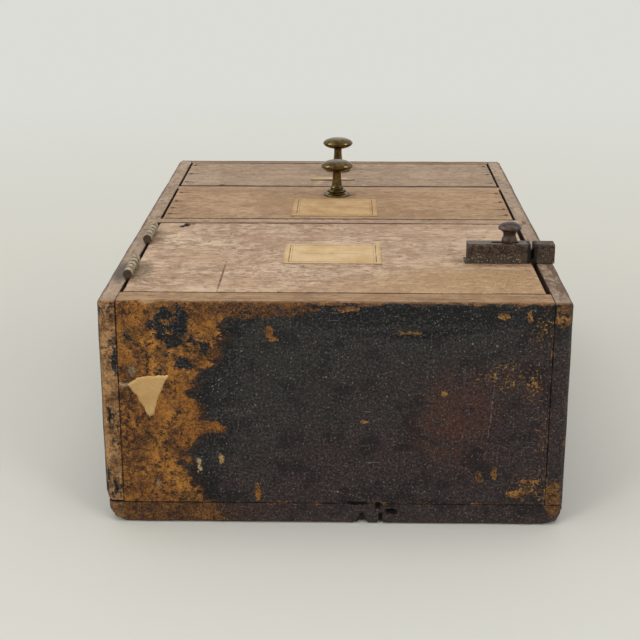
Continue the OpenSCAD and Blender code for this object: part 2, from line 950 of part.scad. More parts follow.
left_side();
right_side();
base_board();
top_board();
back_board();
lower_divider();
upper_divider();
door_stop();
case_nails();
lower_hinge_frame_leaf();
upper_hinge_frame_leaf();
lower_hinge_pin();
upper_hinge_pin();
hinge_frame_screws();
latch_keeper();
keeper_screw();
door_panel();
lower_hinge_door_leaf();
upper_hinge_door_leaf();
hinge_door_screws();
latch_plate();
latch_case();
latch_screws();
door_label();
latch_bolt();
latch_knob();
latch_spring();
drawer_front(0);  // lower_drawer_front
drawer_side(0, -1);  // lower_drawer_left
drawer_side(0, 1);  // lower_drawer_right
drawer_back(0);  // lower_drawer_back
drawer_bottom(0);  // lower_drawer_bottom
drawer_nails(0);  // lower_drawer_nails
drawer_rose(0);  // lower_drawer_rose
drawer_knob(0);  // lower_drawer_knob
drawer_knob_screw(0);  // lower_drawer_knob_screw
lower_drawer_label();
drawer_front(1);  // upper_drawer_front
drawer_side(1, -1);  // upper_drawer_left
drawer_side(1, 1);  // upper_drawer_right
drawer_back(1);  // upper_drawer_back
drawer_bottom(1);  // upper_drawer_bottom
drawer_nails(1);  // upper_drawer_nails
drawer_rose(1);  // upper_drawer_rose
drawer_knob(1);  // upper_drawer_knob
drawer_knob_screw(1);  // upper_drawer_knob_screw
upper_drawer_label();
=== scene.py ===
from functools import reduce
from itertools import combinations
from math import cos, hypot, pi, radians, sin

import bmesh
import bpy
from mathutils import Matrix, Vector, noise


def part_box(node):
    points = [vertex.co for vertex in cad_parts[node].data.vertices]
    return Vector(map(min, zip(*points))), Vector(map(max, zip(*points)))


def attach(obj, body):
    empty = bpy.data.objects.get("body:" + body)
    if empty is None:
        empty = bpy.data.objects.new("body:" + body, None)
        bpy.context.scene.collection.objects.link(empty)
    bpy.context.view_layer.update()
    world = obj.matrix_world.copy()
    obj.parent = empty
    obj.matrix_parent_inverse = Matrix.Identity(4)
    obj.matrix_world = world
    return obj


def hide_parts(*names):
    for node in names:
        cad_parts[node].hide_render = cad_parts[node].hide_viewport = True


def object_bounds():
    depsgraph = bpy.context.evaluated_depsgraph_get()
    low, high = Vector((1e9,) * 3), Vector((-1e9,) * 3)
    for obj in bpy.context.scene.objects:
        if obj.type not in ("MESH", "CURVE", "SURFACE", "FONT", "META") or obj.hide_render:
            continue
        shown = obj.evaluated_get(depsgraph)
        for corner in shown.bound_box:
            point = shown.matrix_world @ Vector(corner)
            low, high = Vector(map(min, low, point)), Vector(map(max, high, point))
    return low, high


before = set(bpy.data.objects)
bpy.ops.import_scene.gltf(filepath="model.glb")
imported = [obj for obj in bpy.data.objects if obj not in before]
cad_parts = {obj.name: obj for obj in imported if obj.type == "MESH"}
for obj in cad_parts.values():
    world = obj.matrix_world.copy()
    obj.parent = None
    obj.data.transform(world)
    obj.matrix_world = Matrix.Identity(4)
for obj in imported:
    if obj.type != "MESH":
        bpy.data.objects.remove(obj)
cad_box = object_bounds()


# Case boards: two sides, base, top and a back laid over them, of old pine glued and nailed together.
# They are painted nearly black outside. The paint is rubbed off along the edges and over a third of
# the base's underside, and the front edges and the inside are bare.
MM = 0.001
FACES = {"left": (0, -1), "right": (0, 1), "front": (1, -1), "back": (1, 1), "under": (2, -1), "top": (2, 1)}
EDGE_LINES = (0, 0.1, 0.22, 0.36, 0.52, 0.72, 1)
WAVE_LENGTH = 19
CHIP_LENGTH = 4.1
DIP_LENGTH = 27
LEAST_SINK = 0.14


def box_mm(node):
    """Lowest and highest corner of a CAD node, in millimetres."""
    low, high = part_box(node)
    return low / MM, high / MM


def board_lines(low, high, reach, step, extra):
    """Mesh lines of a board on one axis: close at both ends, a step apart between, and the extra ones."""
    start = low + reach[0]
    stop = high - reach[1]
    count = max(1, round((stop - start) / step))
    lines = [low + reach[0] * share for share in EDGE_LINES]
    lines += [high - reach[1] * share for share in EDGE_LINES]
    lines += [start + (stop - start) * i / count for i in range(1, count)]
    lines += [line for line in extra if low + 0.1 < line < high - 0.1]
    lines.sort()
    kept = [lines[0]]
    for line in lines[1:-1]:
        if line - kept[-1] > 0.03 and lines[-1] - line > 0.03:
            kept.append(line)
    return kept + [lines[-1]]


def lattice(lines):
    """Points, their places in the lattice, and quads of a closed box with mesh lines at these places."""
    keys = []
    known = {}
    quads = []
    for axis in range(3):
        b = (axis + 1) % 3
        c = (axis + 2) % 3
        for end in (0, len(lines[axis]) - 1):
            for i in range(len(lines[b]) - 1):
                for j in range(len(lines[c]) - 1):
                    quad = []
                    for di, dj in ((0, 0), (1, 0), (1, 1), (0, 1)):
                        key = [end] * 3
                        key[b] = i + di
                        key[c] = j + dj
                        if tuple(key) not in known:
                            known[tuple(key)] = len(keys)
                            keys.append(tuple(key))
                        quad.append(known[tuple(key)])
                    quads.append(quad if end else quad[::-1])
    points = [Vector([lines[axis][key[axis]] for axis in range(3)]) for key in keys]
    return points, keys, quads


def round_edge(point, low, high, one, other, radius):
    """Moves a point of a box so that the edge between two faces becomes an arc."""
    gaps = []
    for axis, sign in (one, other):
        gaps.append(high[axis] - point[axis] if sign > 0 else point[axis] - low[axis])
    if max(gaps) >= radius:
        return
    off = [gap - radius for gap in gaps]
    share = max(abs(value) for value in off) / hypot(*off)
    for (axis, sign), value in zip((one, other), off):
        gap = radius + value * share
        point[axis] = high[axis] - gap if sign > 0 else low[axis] + gap


def worn_board(node, rounds=None, plain=0.5, chips=0.9, step=5.0, dip=0.1, bites=(), seed=0.0):
    """Points and quads of a board just inside a node's box, with its edges worn and its faces uneven.

    rounds gives the radius of an edge by its two faces, plain that of the others, and chips the depth of
    the chips along them. A bite is a dent: its middle, its half sizes and how far it goes in on each axis.
    """
    low, high = box_mm(node)
    edges = {}
    for one, other in combinations(FACES, 2):
        if FACES[one][0] != FACES[other][0]:
            edges[FACES[one], FACES[other]] = (rounds or {}).get(f"{one} {other}", plain)
    lines = []
    for axis in range(3):
        reach = []
        for sign in (-1, 1):
            widest = max(radius for faces, radius in edges.items() if (axis, sign) in faces)
            reach.append(1.3 * widest + 0.5 * chips)
        extra = []
        for middle, half, push in bites:
            if half[axis] < 50 and not push[axis]:
                extra += [middle[axis] + half[axis] * i / 5 for i in range(-6, 7)]
        lines.append(board_lines(low[axis], high[axis], reach, step, extra))
    points, keys, quads = lattice(lines)
    ends = [len(line) - 1 for line in lines]
    for point, key in zip(points, keys):
        start = point.copy()
        for number, (faces, radius) in enumerate(edges.items()):
            along = 3 - faces[0][0] - faces[1][0]
            place = start[along] + 50 * number
            wave = 0.3 * noise.noise((place / WAVE_LENGTH, seed, 0.5))
            chip = max(0, noise.noise((place / CHIP_LENGTH, seed, 7.5)) - 0.2)
            round_edge(point, low, high, *faces, radius * (1 + wave) + chips * chip)
        for axis in range(3):
            if key[axis] in (0, ends[axis]):
                uneven = noise.noise(start / DIP_LENGTH + Vector((seed, axis, 3.7)))
                sink = LEAST_SINK + dip * (1 + uneven)
                point[axis] += sink if key[axis] == 0 else -sink
        for middle, half, push in bites:
            off = hypot(*[(start[axis] - middle[axis]) / half[axis] for axis in range(3)])
            off += 0.2 * noise.noise(start / 2.3)
            if off < 1:
                point += Vector(push) * (1 - off * off)
    return points, quads


def show(name, points, faces, finish, body, slot, *nodes):
    """Links a piece given in millimetres, hangs it on its body's empty, and hides the CAD nodes it replaces.
    """
    mesh = bpy.data.meshes.new(name)
    mesh.from_pydata([Vector(point) * MM for point in points], [], faces)
    mesh.polygons.foreach_set("use_smooth", [True] * len(mesh.polygons))
    mesh.materials.append(finish)
    piece = bpy.data.objects.new(name, mesh)
    bpy.context.scene.collection.objects.link(piece)
    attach(piece, body)
    if nodes:
        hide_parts(*nodes)
    return piece


def tone(red, green, blue):
    """A colour as a screen shows it, from 0 to 255, as the linear colour that a node takes."""
    def linear(value):
        share = value / 255
        return share / 12.92 if share <= 0.04045 else ((share + 0.055) / 1.055) ** 2.4
    return linear(red), linear(green), linear(blue), 1.0


class Socket:
    """An output in a finish's node tree: arithmetic on it adds Math nodes, and node() adds any other."""

    def __init__(self, tree, output=None):
        self.tree = tree
        self.output = output

    def node(self, kind, settings, inputs, out=0):
        """Adds a node, with its settings first and then the values or links of its sockets."""
        made = self.tree.nodes.new("ShaderNode" + kind)
        for name, value in settings.items():
            if name == "stops":
                ramp = made.color_ramp.elements
                while len(ramp) < len(value):
                    ramp.new(0.5)
                for stop, (position, colour) in zip(ramp, value):
                    stop.position = position
                    stop.color = colour
            else:
                setattr(made, name, value)
        for key, value in inputs.items():
            if isinstance(value, Socket):
                self.tree.links.new(value.output, made.inputs[key])
            else:
                made.inputs[key].default_value = value
        return Socket(self.tree, made.outputs[out]) if made.outputs else None

    def math(self, operation, one, other=0.0):
        return self.node("Math", {"operation": operation}, {0: one, 1: other})

    def __add__(self, other):
        return self.math("ADD", self, other)

    def __sub__(self, other):
        return self.math("SUBTRACT", self, other)

    def __rsub__(self, other):
        return self.math("SUBTRACT", other, self)

    def __mul__(self, other):
        return self.math("MULTIPLY", self, other)

    def __abs__(self):
        return self.math("ABSOLUTE", self)

    __radd__ = __add__
    __rmul__ = __mul__

    def least(self, other):
        return self.math("MINIMUM", self, other)

    def most(self, other):
        return self.math("MAXIMUM", self, other)


def fade(value, start, stop):
    """0 at start, 1 at stop, smooth between."""
    return value.node(
        "MapRange", {"interpolation_type": "SMOOTHSTEP"},
        {"Value": value, "From Min": start, "From Max": stop}
    )


def blend(share, one, other, how="MIX"):
    """Colour one, going over to the other by a share."""
    return share.node("Mix", {"data_type": "RGBA", "blend_type": how}, {0: share, 6: one, 7: other}, 2)


def vector(operation, one, other):
    return one.node("VectorMath", {"operation": operation}, {0: one, 1: other})


def parts(place):
    """The three numbers of a vector."""
    return [place.node("SeparateXYZ", {}, {0: place}, axis) for axis in "XYZ"]


def clouds(place, size, detail=3.0, rough=0.55, seed=0.0, squeeze=(1.0, 1.0, 1.0)):
    """Noise from 0 to 1 with patches of a size in millimetres, longer along an axis that is squeezed."""
    shift = (seed * 37.3, seed * 11.9, seed * 23.1)
    moved = place.node("VectorMath", {"operation": "MULTIPLY_ADD"}, {0: place, 1: squeeze, 2: shift})
    return moved.node(
        "TexNoise", {}, {"Vector": moved, "Scale": 1 / size, "Detail": detail, "Roughness": rough}
    )


def specks(place, cell, size, share, seed=0.0):
    """Round specks of a size, one in a share of the cells, all in millimetres."""
    moved = vector("ADD", place, (seed * 9.7, seed * 5.3, seed * 7.9))
    cells = {"Vector": moved, "Scale": 1 / cell}
    away = moved.node("TexVoronoi", {}, cells, "Distance")
    pick = parts(moved.node("TexVoronoi", {}, cells, "Color"))[0]
    return fade(away, size / cell, 0.4 * size / cell) * fade(pick, 1 - share, 1 - share + 0.01)


def ragged(place, size, reach, seed=0.0):
    """The place moved about by up to a reach, so that outlines drawn from it come out torn."""
    noise_at = {"Vector": vector("ADD", place, (seed, seed, seed)), "Scale": 1 / size, "Detail": 4.0}
    shift = vector("SUBTRACT", place.node("TexNoise", {}, noise_at, "Color"), (0.5, 0.5, 0.5))
    return vector("ADD", place, vector("MULTIPLY", shift, (reach, reach, reach)))


def patch(place, middle, half, soft=0.4, shape="round"):
    """1 inside an oval or a block with this middle and half size, 0 outside; a half size of 0 is endless."""
    scale = [1 / size if size else 0.0 for size in half]
    away = vector("MULTIPLY", vector("SUBTRACT", place, middle), scale)
    if shape == "round":
        length = away.node("VectorMath", {"operation": "LENGTH"}, {0: away}, "Value")
    else:
        across, over, up = parts(away)
        length = abs(across).most(abs(over)).most(abs(up))
    return fade(length, 1 + soft / 2, 1 - soft / 2)


def start_finish(name):
    """A new material, the place on the piece in millimetres, and the way the surface faces there."""
    material = bpy.data.materials.new(name)
    material.use_nodes = True
    material.node_tree.nodes.clear()
    first = Socket(material.node_tree)
    metres = first.node("TexCoord", {}, {}, "Object")
    place = vector("MULTIPLY", metres, (1 / MM, 1 / MM, 1 / MM))
    return material, place, parts(first.node("TexCoord", {}, {}, "Normal"))


def end_finish(material, colour, roughness, relief, depth, shine=0.5, metallic=0.0):
    """Joins the colour, the roughness and the relief, which is depth millimetres deep, to the surface."""
    first = Socket(material.node_tree)
    bump = first.node("Bump", {}, {"Height": relief, "Distance": depth * MM, "Strength": 1.0}, "Normal")
    inputs = {
        "Base Color": colour, "Roughness": roughness, "Normal": bump, "Specular IOR Level": shine,
        "Metallic": metallic
    }
    first.node("OutputMaterial", {}, {"Surface": first.node("BsdfPrincipled", {}, inputs)})
    return material


def bare_grain(place, along, light, dark, grey, seed):
    """Colour and relief of bare weathered wood whose grain runs along an axis."""
    lengths = {}
    for name, share in (("grain", 0.04), ("flake", 0.5), ("nick", 0.3)):
        lengths[name] = [share if axis == along else 1.0 for axis in range(3)]
    bands = clouds(place, 8.0, 5, 0.6, seed, lengths["grain"])
    rings = clouds(place, 2.0, 4, 0.65, seed + 8, lengths["grain"])
    fibres = clouds(place, 0.7, 3, 0.6, seed + 1, lengths["grain"])
    weather = clouds(place, 42, 4, 0.55, seed + 2)
    worn_zone = fade(clouds(place, 24, 4, 0.6, seed + 9), 0.38, 0.6)
    flaking = clouds(place, 3.2, 6, 0.75, seed + 3, lengths["flake"])
    flakes = fade(flaking + 0.12 * worn_zone, 0.57, 0.62)
    nicks = fade(clouds(place, 2.0, 4, 0.62, seed + 4, lengths["nick"]), 0.6, 0.65)
    colour = blend(fade(weather, 0.4, 0.62), light, grey)
    colour = blend(fade(bands, 0.42, 0.7) * 0.4, colour, dark)
    colour = blend(fade(rings, 0.48, 0.66) * 0.45, colour, dark)
    colour = blend(fade(flaking, 0.46, 0.36) * 0.3, colour, light)
    colour = blend(flakes * 0.5, colour, dark)
    colour = blend(fade(fibres, 0.5, 0.72) * 0.35, colour, dark)
    colour = blend(nicks * 0.7, colour, tone(98, 70, 50))
    return colour, bands * 0.3 + rings * 0.4 + fibres * 0.3 - nicks - 0.5 * flakes


half_wide = 127
half_deep = 64.5
front_face = -half_deep
case_tall = 381
side_in = 116.6
back_in = 52.5
divider_faces = (175.5, 185.5, 280.8, 288.8)
amber_light = tone(202, 138, 60)
amber = tone(168, 108, 42)
amber_brown = tone(94, 61, 38)
amber_dark = tone(50, 35, 28)
paint_green = tone(56, 55, 52)
paint_purple = tone(62, 51, 51)
paint_red = tone(90, 55, 42)
paint_blue = tone(27, 29, 33)
paint_side = tone(66, 47, 45)
dust = tone(158, 152, 136)
case_finish, place, facing = start_finish("worn_case_paint")
x, y, z = parts(place)
rough_place = ragged(place, 5, 5)
chip_place = ragged(place, 2.2, 4.5, 3.3)
fine = clouds(place, 1.3, 4, 0.7, 1)
crackle = clouds(place, 0.9, 4, 0.75, 35)
blotch = clouds(place, 7, 5, 0.65, 2)
broad = clouds(place, 30, 4, 0.55, 3)
sponge = clouds(place, 3.0, 5, 0.72, 7)

dx = half_wide - abs(x)
dy = half_deep - abs(y)
dz = z.least(case_tall - z)
outside = fade(dx.least(dy).least(dz), 4.0, 3.0)
edge = dx.least(dy).most(dx.most(dy).least(dz))
under = fade(facing[2], -0.3, -0.7) * fade(z, 9, 8)
front = fade(facing[1], -0.45, -0.8) * fade(y, -60, -61)

wear_reach = (
    (0.0, -52), (0.1, -62), (0.2, -62), (0.3, -70), (0.42, -78), (0.5, -72), (0.56, -62), (0.62, -76),
    (0.7, -82), (0.86, -76), (0.92, -70), (1.0, -62)
)
reach_stops = [(at, (1 + mm / 100,) * 3 + (1,)) for at, mm in wear_reach]
reach = (y + half_deep) * (0.5 / half_deep)
reach = reach.node("ValToRGB", {"stops": reach_stops}, {0: reach}) * 100 - 100
jagged = (clouds(place, 11, 6, 0.66, 5, (1.0, 1.6, 1.0)) - 0.5) * 46
past_reach = x - reach + jagged
bare_left = fade(past_reach, 1.5, -1.5)
left_over = fade(clouds(place, 13, 6, 0.66, 6), 0.48, 0.66) * fade(y, 10, -38)
left_over = left_over.most(patch(rough_place, (-89, -53, 0), (12, 13, 0), 0.8) * fade(blotch, 0.32, 0.52))
left_over = left_over.most(fade(clouds(place, 6, 6, 0.7, 16), 0.53, 0.68) * 0.7)
strip = fade(y, 52.2, 52.8)
strips = fade(x, -116.2, -117).most(strip)
dark_strips = fade(clouds(place, 8, 6, 0.7, 29, (1.0, 0.45, 1.0)), 0.49, 0.64) * 0.9
left_over = left_over.most(strips * dark_strips)
bare = bare_left * (1 - 0.88 * left_over)

chip_places = (
    (-35, -47.5, 2.4, 3.4), (-33, -43.5, 2.6, 1.6), (-13, -60, 5, 1.5), (7, -60.5, 7, 1.6),
    (39, -47.3, 8, 0.8), (90, -57, 3.2, 1.9), (103.5, -57, 1.2, 4), (80, 36, 2, 3.4), (88, 33.5, 1.6, 4),
    (101, 46, 6, 2.2), (107, 38.5, 6, 0.9), (17, 3.8, 2.2, 0.8), (-42, 46, 1.5, 6), (60, -13, 1.6, 2),
    (-74, 30, 1.1, 4.4), (-62, 26, 1.4, 2.9)
)
chips = reduce(Socket.most, [
    patch(chip_place, (chip_x, chip_y, 0), (half_x, half_y, 0))
    for chip_x, chip_y, half_x, half_y in chip_places
])
chips = chips * fade(clouds(place, 1.5, 5, 0.7, 17), 0.38, 0.5)
spray_places = (
    (107, -17, 11, 12, 1.0), (94, -22, 28, 16, 0.85), (108, 42, 16, 15, 0.95), (111, -48, 11, 18, 0.9),
    (113, 10, 6, 40, 0.8)
)
flecks = clouds(place, 1.5, 5, 0.7, 8)
for spray_x, spray_y, half_x, half_y, share in spray_places:
    spray = patch(rough_place, (spray_x, spray_y, 0), (half_x, half_y, 0), 1.9)
    chips = chips.most(fade(spray * share * 0.35 + flecks, 0.83, 0.9))
chips = chips.most(patch(rough_place, (121, 49, 0), (5, 11, 0), 1.0) * fade(sponge, 0.34, 0.52))
chips = chips.most(patch(rough_place, (122, -58, 0), (5, 8, 0), 1.0) * fade(sponge, 0.4, 0.55))
bare = bare.most(chips)

seam = (abs(abs(x) - side_in) + 50 * fade(y, 52, 52.6)).least(abs(y - back_in))
rubbed = fade(seam, 1.5, 0.2) * fade(clouds(place, 7, 5, 0.66, 9), 0.5, 0.58)
rub_line = y + (blotch - 0.5) * 8 + 1.3 * fade(x, -40, 10)
front_rub = fade(rub_line, -60.5, -62.5) * fade(clouds(place, 14, 5, 0.65, 10), 0.38, 0.52)
smoky = patch(rough_place, (-44, -61, 0), (34, 6.5, 0), 1.0)
front_rub = front_rub.most(smoky * fade(sponge, 0.36, 0.56) * 0.8)
bare = under * bare.most(rubbed * 0.8).most(front_rub)
edge_rub = fade(edge + (clouds(place, 12, 5, 0.65, 11) - 0.5) * 11, 2.6, 0.2)
scuffs = fade(clouds(place, 22, 6, 0.68, 12), 0.64, 0.67) * (1 - under)
bare = bare.most(edge_rub * (1 - 0.6 * under)).most(scuffs)

zone = fade(clouds(place, 19, 4, 0.55, 13), 0.38, 0.56)
wood = blend(fade(broad, 0.4, 0.6), amber, amber_light)
wood = blend(fade(x, -116.4, -117) * 0.75, wood, tone(208, 164, 114))
wood = blend(fade(x, -30, 30) * 0.6, wood, tone(196, 152, 84))
wood = blend(strip * 0.7, wood, tone(92, 62, 43))
wood = blend(smoky * 0.6, wood, tone(96, 65, 43))
wood = blend(fade(y, -57, -62) * fade(x, -40, 10) * 0.8, wood, tone(116, 78, 53))
wood = blend(fade(clouds(place, 9, 7, 0.72, 4), 0.42, 0.64) * 0.9, wood, amber_brown)
burnt = fade(clouds(place, 17, 6, 0.66, 38), 0.5, 0.64) * fade(x, -128, -112)
wood = blend(burnt * 0.7, wood, tone(66, 43, 29))
low_left = patch(rough_place, (-108, 38, 0), (12, 22, 0), 1.2)
wood = blend(low_left * fade(sponge, 0.36, 0.56) * 0.6, wood, amber_brown)
dark_side = patch(rough_place, (-112, 10, 0), (7, 26, 0)) * fade(sponge, 0.4, 0.55)
wood = blend(dark_side * 0.85, wood, amber_brown)
sooty = (0.3 + 0.65 * zone).most(0.75 * strip) * fade(x, -130, -112)
wood = blend(fade(sponge, 0.47, 0.6) * sooty, wood, amber_dark)
wood = blend(fade(crackle, 0.53, 0.66) * 0.55, wood, tone(198, 142, 74))
wood = blend(fade(crackle, 0.49, 0.35) * 0.85, wood, amber_dark)
wood = blend(fade(fine, 0.46, 0.32) * 0.6, wood, amber_dark)
wood = blend(fade(dx, 1.8, 0.6) * under * 0.7, wood, tone(88, 66, 64))

hue = fade(y * 0.8 + x * 0.35 + (broad - 0.5) * 70, -28, 22)
paint = blend(hue, paint_green, paint_purple)
near_bare = fade(past_reach, 26, 4) * fade(blotch, 0.3, 0.55)
thin_coat = fade(past_reach + (sponge - 0.5) * 20, 7, 0) * fade(past_reach, -9, -3) * under
streak = fade(clouds(place, 5, 4, 0.6, 18, (0.12, 1.0, 1.0)), 0.42, 0.58)
near_bare = near_bare.most(patch(place, (38, -53, 0), (50, 10, 0)) * streak)
near_bare = near_bare.most(fade(y + (broad - 0.5) * 12, -46, -56) * fade(x, -34, -10) * 0.75)
paint = blend(near_bare * 0.85, paint, paint_blue)
red_place = patch(ragged(place, 14, 26), (68, 4, 0), (22, 26, 0), 1.2)
red_place = red_place * fade(clouds(place, 15, 6, 0.68, 31), 0.4, 0.56)
paint = blend(red_place * (0.4 + 0.6 * fade(sponge, 0.4, 0.6)), paint, paint_red)
paint = blend(strip * fade(x, -18, -66) * 0.7, paint, tone(80, 52, 40))
paint = blend(under, paint_side, paint)
paint = blend(fade(fine, 0.5, 0.68) * 0.75, paint, tone(104, 98, 90))
paint = blend(fade(fine, 0.47, 0.3) * 0.9, paint, tone(20, 19, 19))
paint = blend(fade(crackle, 0.55, 0.69) * 0.45, paint, tone(114, 108, 100))
paint = blend(fade(crackle, 0.46, 0.34) * 0.55, paint, tone(18, 17, 17))
paint = blend(fade(clouds(place, 16, 5, 0.65, 14), 0.5, 0.38) * 0.5, paint, tone(32, 31, 31))
scratches = fade(clouds(place, 0.7, 2, 0.5, 15, (0.04, 1.0, 0.3)), 0.69, 0.76) * 0.4
long_scratch = fade(abs(x - 85 + y * 0.075 + (blotch - 0.5) * 2), 0.4, 0.15) * fade(abs(y + 7), 22, 16)
scratches = scratches.most(long_scratch * 0.55 * fade(fine, 0.4, 0.6))
scraped = patch(place, (-50, 8, 0), (17, 36, 0), 1.2)
scraped = scraped * fade(clouds(rough_place, 0.8, 3, 0.6, 19, (1.0, 0.16, 1.0)), 0.62, 0.7)
scratches = scratches.most(scraped * 0.4)
paint = blend(scratches, paint, dust)
for cell, size, share, seed in ((6.5, 0.8, 0.2, 1), (3.3, 0.5, 0.3, 5), (1.7, 0.36, 0.5, 2)):
    paint = blend(specks(place, cell, size, share, seed) * 0.7, paint, dust)
paint = blend(thin_coat * 0.55, paint, tone(84, 56, 36))

coat_gone = fade(bare + (fine - 0.5) * 0.6, 0.28, 0.7)
skin = blend(coat_gone, paint, wood)

side_edge = fade(abs(x), 116.2, 116.8)
rail_wood = bare_grain(place, 0, tone(176, 143, 108), tone(128, 94, 63), tone(158, 126, 93), 20)[0]
stile_wood, stile_relief = bare_grain(
    place, 2, tone(182, 158, 134), tone(138, 112, 92), tone(166, 146, 126), 24
)
front_wood = blend(side_edge, rail_wood, stile_wood)
joints = reduce(Socket.least, [abs(z - height) for height in divider_faces])
joints = fade(joints, 0.6, 0.25) * fade(dx, 6.2, 6.6)
joints = joints.most(fade(abs(z - 175 + (blotch - 0.5) * 2), 0.7, 0.3) * fade(x, -116, -117))
# Dirt along the side edges and at the joints, and painted shade in a band along the top front edge.
grime_and_edge_shade = fade(dx + (blotch - 0.5) * 5, 3.4, 0.8) * side_edge
grime_and_edge_shade = grime_and_edge_shade.most(fade(clouds(place, 5, 6, 0.7, 28), 0.55, 0.64) * 0.75 * side_edge)
mottled = fade(clouds(place, 5, 6, 0.7, 34, (1.0, 1.0, 0.35)), 0.38, 0.53)
grime_and_edge_shade = grime_and_edge_shade.most(patch(rough_place, (122, 0, 50), (7, 0, 46), 0.8) * mottled)
grime_and_edge_shade = grime_and_edge_shade.most(patch(rough_place, (119, 0, 178), (4, 0, 5)) * 0.9)
grime_and_edge_shade = grime_and_edge_shade.most(joints * side_edge).most(fade(z + (blotch - 0.5) * 3, 376.5, 379))
grime_and_edge_shade = grime_and_edge_shade.most(fade(sponge, 0.56, 0.66) * 0.5 * side_edge)
front_wood = blend(grime_and_edge_shade * 0.85, front_wood, tone(86, 64, 51))
greyed = patch(rough_place, (-121.5, 0, 57), (4.6, 0, 20), 0.9) * fade(sponge, 0.2, 0.45)
front_wood = blend(greyed, front_wood, tone(96, 86, 78))
streaks = fade(clouds(place, 1.6, 4, 0.65, 37, (0.03, 1.0, 1.0)), 0.5, 0.6) * (1 - side_edge)
front_wood = blend(streaks * 0.5, front_wood, tone(104, 74, 50))
arris = fade(z + (blotch - 0.5) * 5, 3.0, 0.8)
front_wood = blend(arris * 0.8, front_wood, wood)
skin = blend(front, skin, front_wood)
# Painted shade: the top board's front edge goes darker still, a shadow line along the top.
skin = blend(fade(z, 376.5, 378.5) * fade(y, -60, -62) * 0.9, skin, tone(80, 61, 49))

lining_rail = bare_grain(place, 0, tone(176, 142, 104), tone(136, 102, 70), tone(150, 122, 94), 32)[0]
lining_stile = bare_grain(place, 2, tone(172, 138, 100), tone(130, 98, 68), tone(146, 118, 90), 36)[0]
upright = side_edge.most(fade(y, 52.2, 52.5))
lining = blend(upright, lining_rail, lining_stile)
# Painted shade: the inside goes dark towards the front opening, in the gaps round the door and drawers.
lining = blend(fade(y, -56, -62) * 0.8, lining, tone(52, 37, 29))
skin = blend(outside, lining, skin)

# Painted shade: the nail holes and the notch by the back edge are dents in the mesh, and here they go near
# black.
hole_shade = patch(place, (13, 51.9, 0), (5.6, 0.7, 0), 0.2, "block")
for hole_x, hole_y, half_x, half_y in ((24.5, 53.6, 1.5, 2.2), (26, 61.5, 1.2, 3.4), (32, 57.6, 3.0, 1.6)):
    hole_shade = hole_shade.most(patch(place, (hole_x, hole_y, 0), (half_x, half_y, 0), 0.25, "block"))
notch_shade = fade(abs(x - 15.5) - (y - 58) * 0.55, 0.5, 0.1) * fade(y, 57.5, 58)
hole_shade = under * hole_shade.most(notch_shade)
glue_places = (
    (-114.5, -17, 3.2, 1.2, tone(198, 172, 134)), (-109.5, -25, 2.2, 2.8, tone(146, 130, 104)),
    (-97, 41.5, 1.6, 3.8, tone(150, 126, 90)), (-74, 30, 1.2, 4.2, tone(204, 182, 138)),
    (-62, 26, 1.3, 2.8, tone(204, 168, 112))
)
for glue_x, glue_y, half_x, half_y, colour in glue_places:
    residue = patch(chip_place, (glue_x, glue_y, 0), (half_x, half_y, 0), 0.6) * under
    skin = blend(residue * fade(crackle, 0.38, 0.54) * 0.8, skin, colour)
broken_seam = 0.15 + 0.7 * fade(clouds(place, 10, 5, 0.65, 33), 0.44, 0.56)
skin = blend(fade(seam + (fine - 0.5) * 0.8, 0.7, 0.25) * broken_seam * under * 0.85, skin, tone(24, 18, 15))
# Painted shade in the holes and the notch.
skin = blend(hole_shade * 0.9, skin, tone(12, 10, 9))

gloss = 0.52 + 0.2 * coat_gone + 0.25 * (fine - 0.5)
gloss = gloss + outside * front * 0.15
relief = 0.55 * (1 - coat_gone) + 0.4 * fine + 0.2 * stile_relief * side_edge - 0.4 * scratches
end_finish(case_finish, skin, gloss, relief, 0.16, 0.28)

corner = 4.5
case_rounds = {
    "left_side": {"left front": 2.4, "left under": corner, "left top": corner, "front under": 1.3,
                  "right front": 0.8, "right under": 0.15, "front top": 1.2},
    "right_side": {"right front": 2.4, "right under": corner, "right top": corner, "front under": 1.3,
                   "left front": 0.8, "left under": 0.15, "front top": 1.2},
    "base_board": {"front under": 1.5, "front top": 0.8, "left under": 0.15, "right under": 0.15},
    "top_board": {"front top": 1.6, "front under": 0.7},
    "back_board": {"left under": corner, "right under": corner, "left top": corner, "right top": corner,
                   "left back": corner, "right back": corner, "back under": 1.6, "back top": 1.6},
}
left_bites = (
    ((-half_wide, back_in, 0), (16, 5, 30), (1.0, -1.0, 0)),
)
base_bites = (
    ((-99, front_face, 1.5), (6, 5, 4), (0, 1.1, 0.8)),
    ((-92, front_face, 3), (9, 5, 1.0), (0, 0.9, 0)),
)
back_bites = (
    ((15.5, half_deep, 0), (3.6, 6.5, 7), (0, 0, 3.2)),
    ((26, half_deep, 0), (1.8, 7, 6), (0, 0, 3.0)),
    ((13, back_in, 0), (7, 1.4, 6), (0, 0, 3.0)),
    ((24.5, 53.5, 0), (2.0, 3, 6), (0, 0, 3.2)),
    ((32, 57.6, 0), (3.8, 2.2, 6), (0, 0, 3.0)),
    ((-half_wide, 58.5, 0), (7, 16, 45), (1.5, 0, 0)),
    ((-half_wide, half_deep, 0), (11, 8, 45), (1.4, -1.9, 0.5)),
    ((half_wide, half_deep, 0), (10, 9, 30), (-1.2, -1.4, 0.4)),
)
case_bites = {"left_side": left_bites, "base_board": base_bites, "back_board": back_bites}
for number, (node, rounds) in enumerate(case_rounds.items()):
    board = worn_board(node, rounds, 0.4, bites=case_bites.get(node, ()), seed=number + 1.5)
    show("worn_" + node, *board, case_finish, "case", "painted_wood", node)


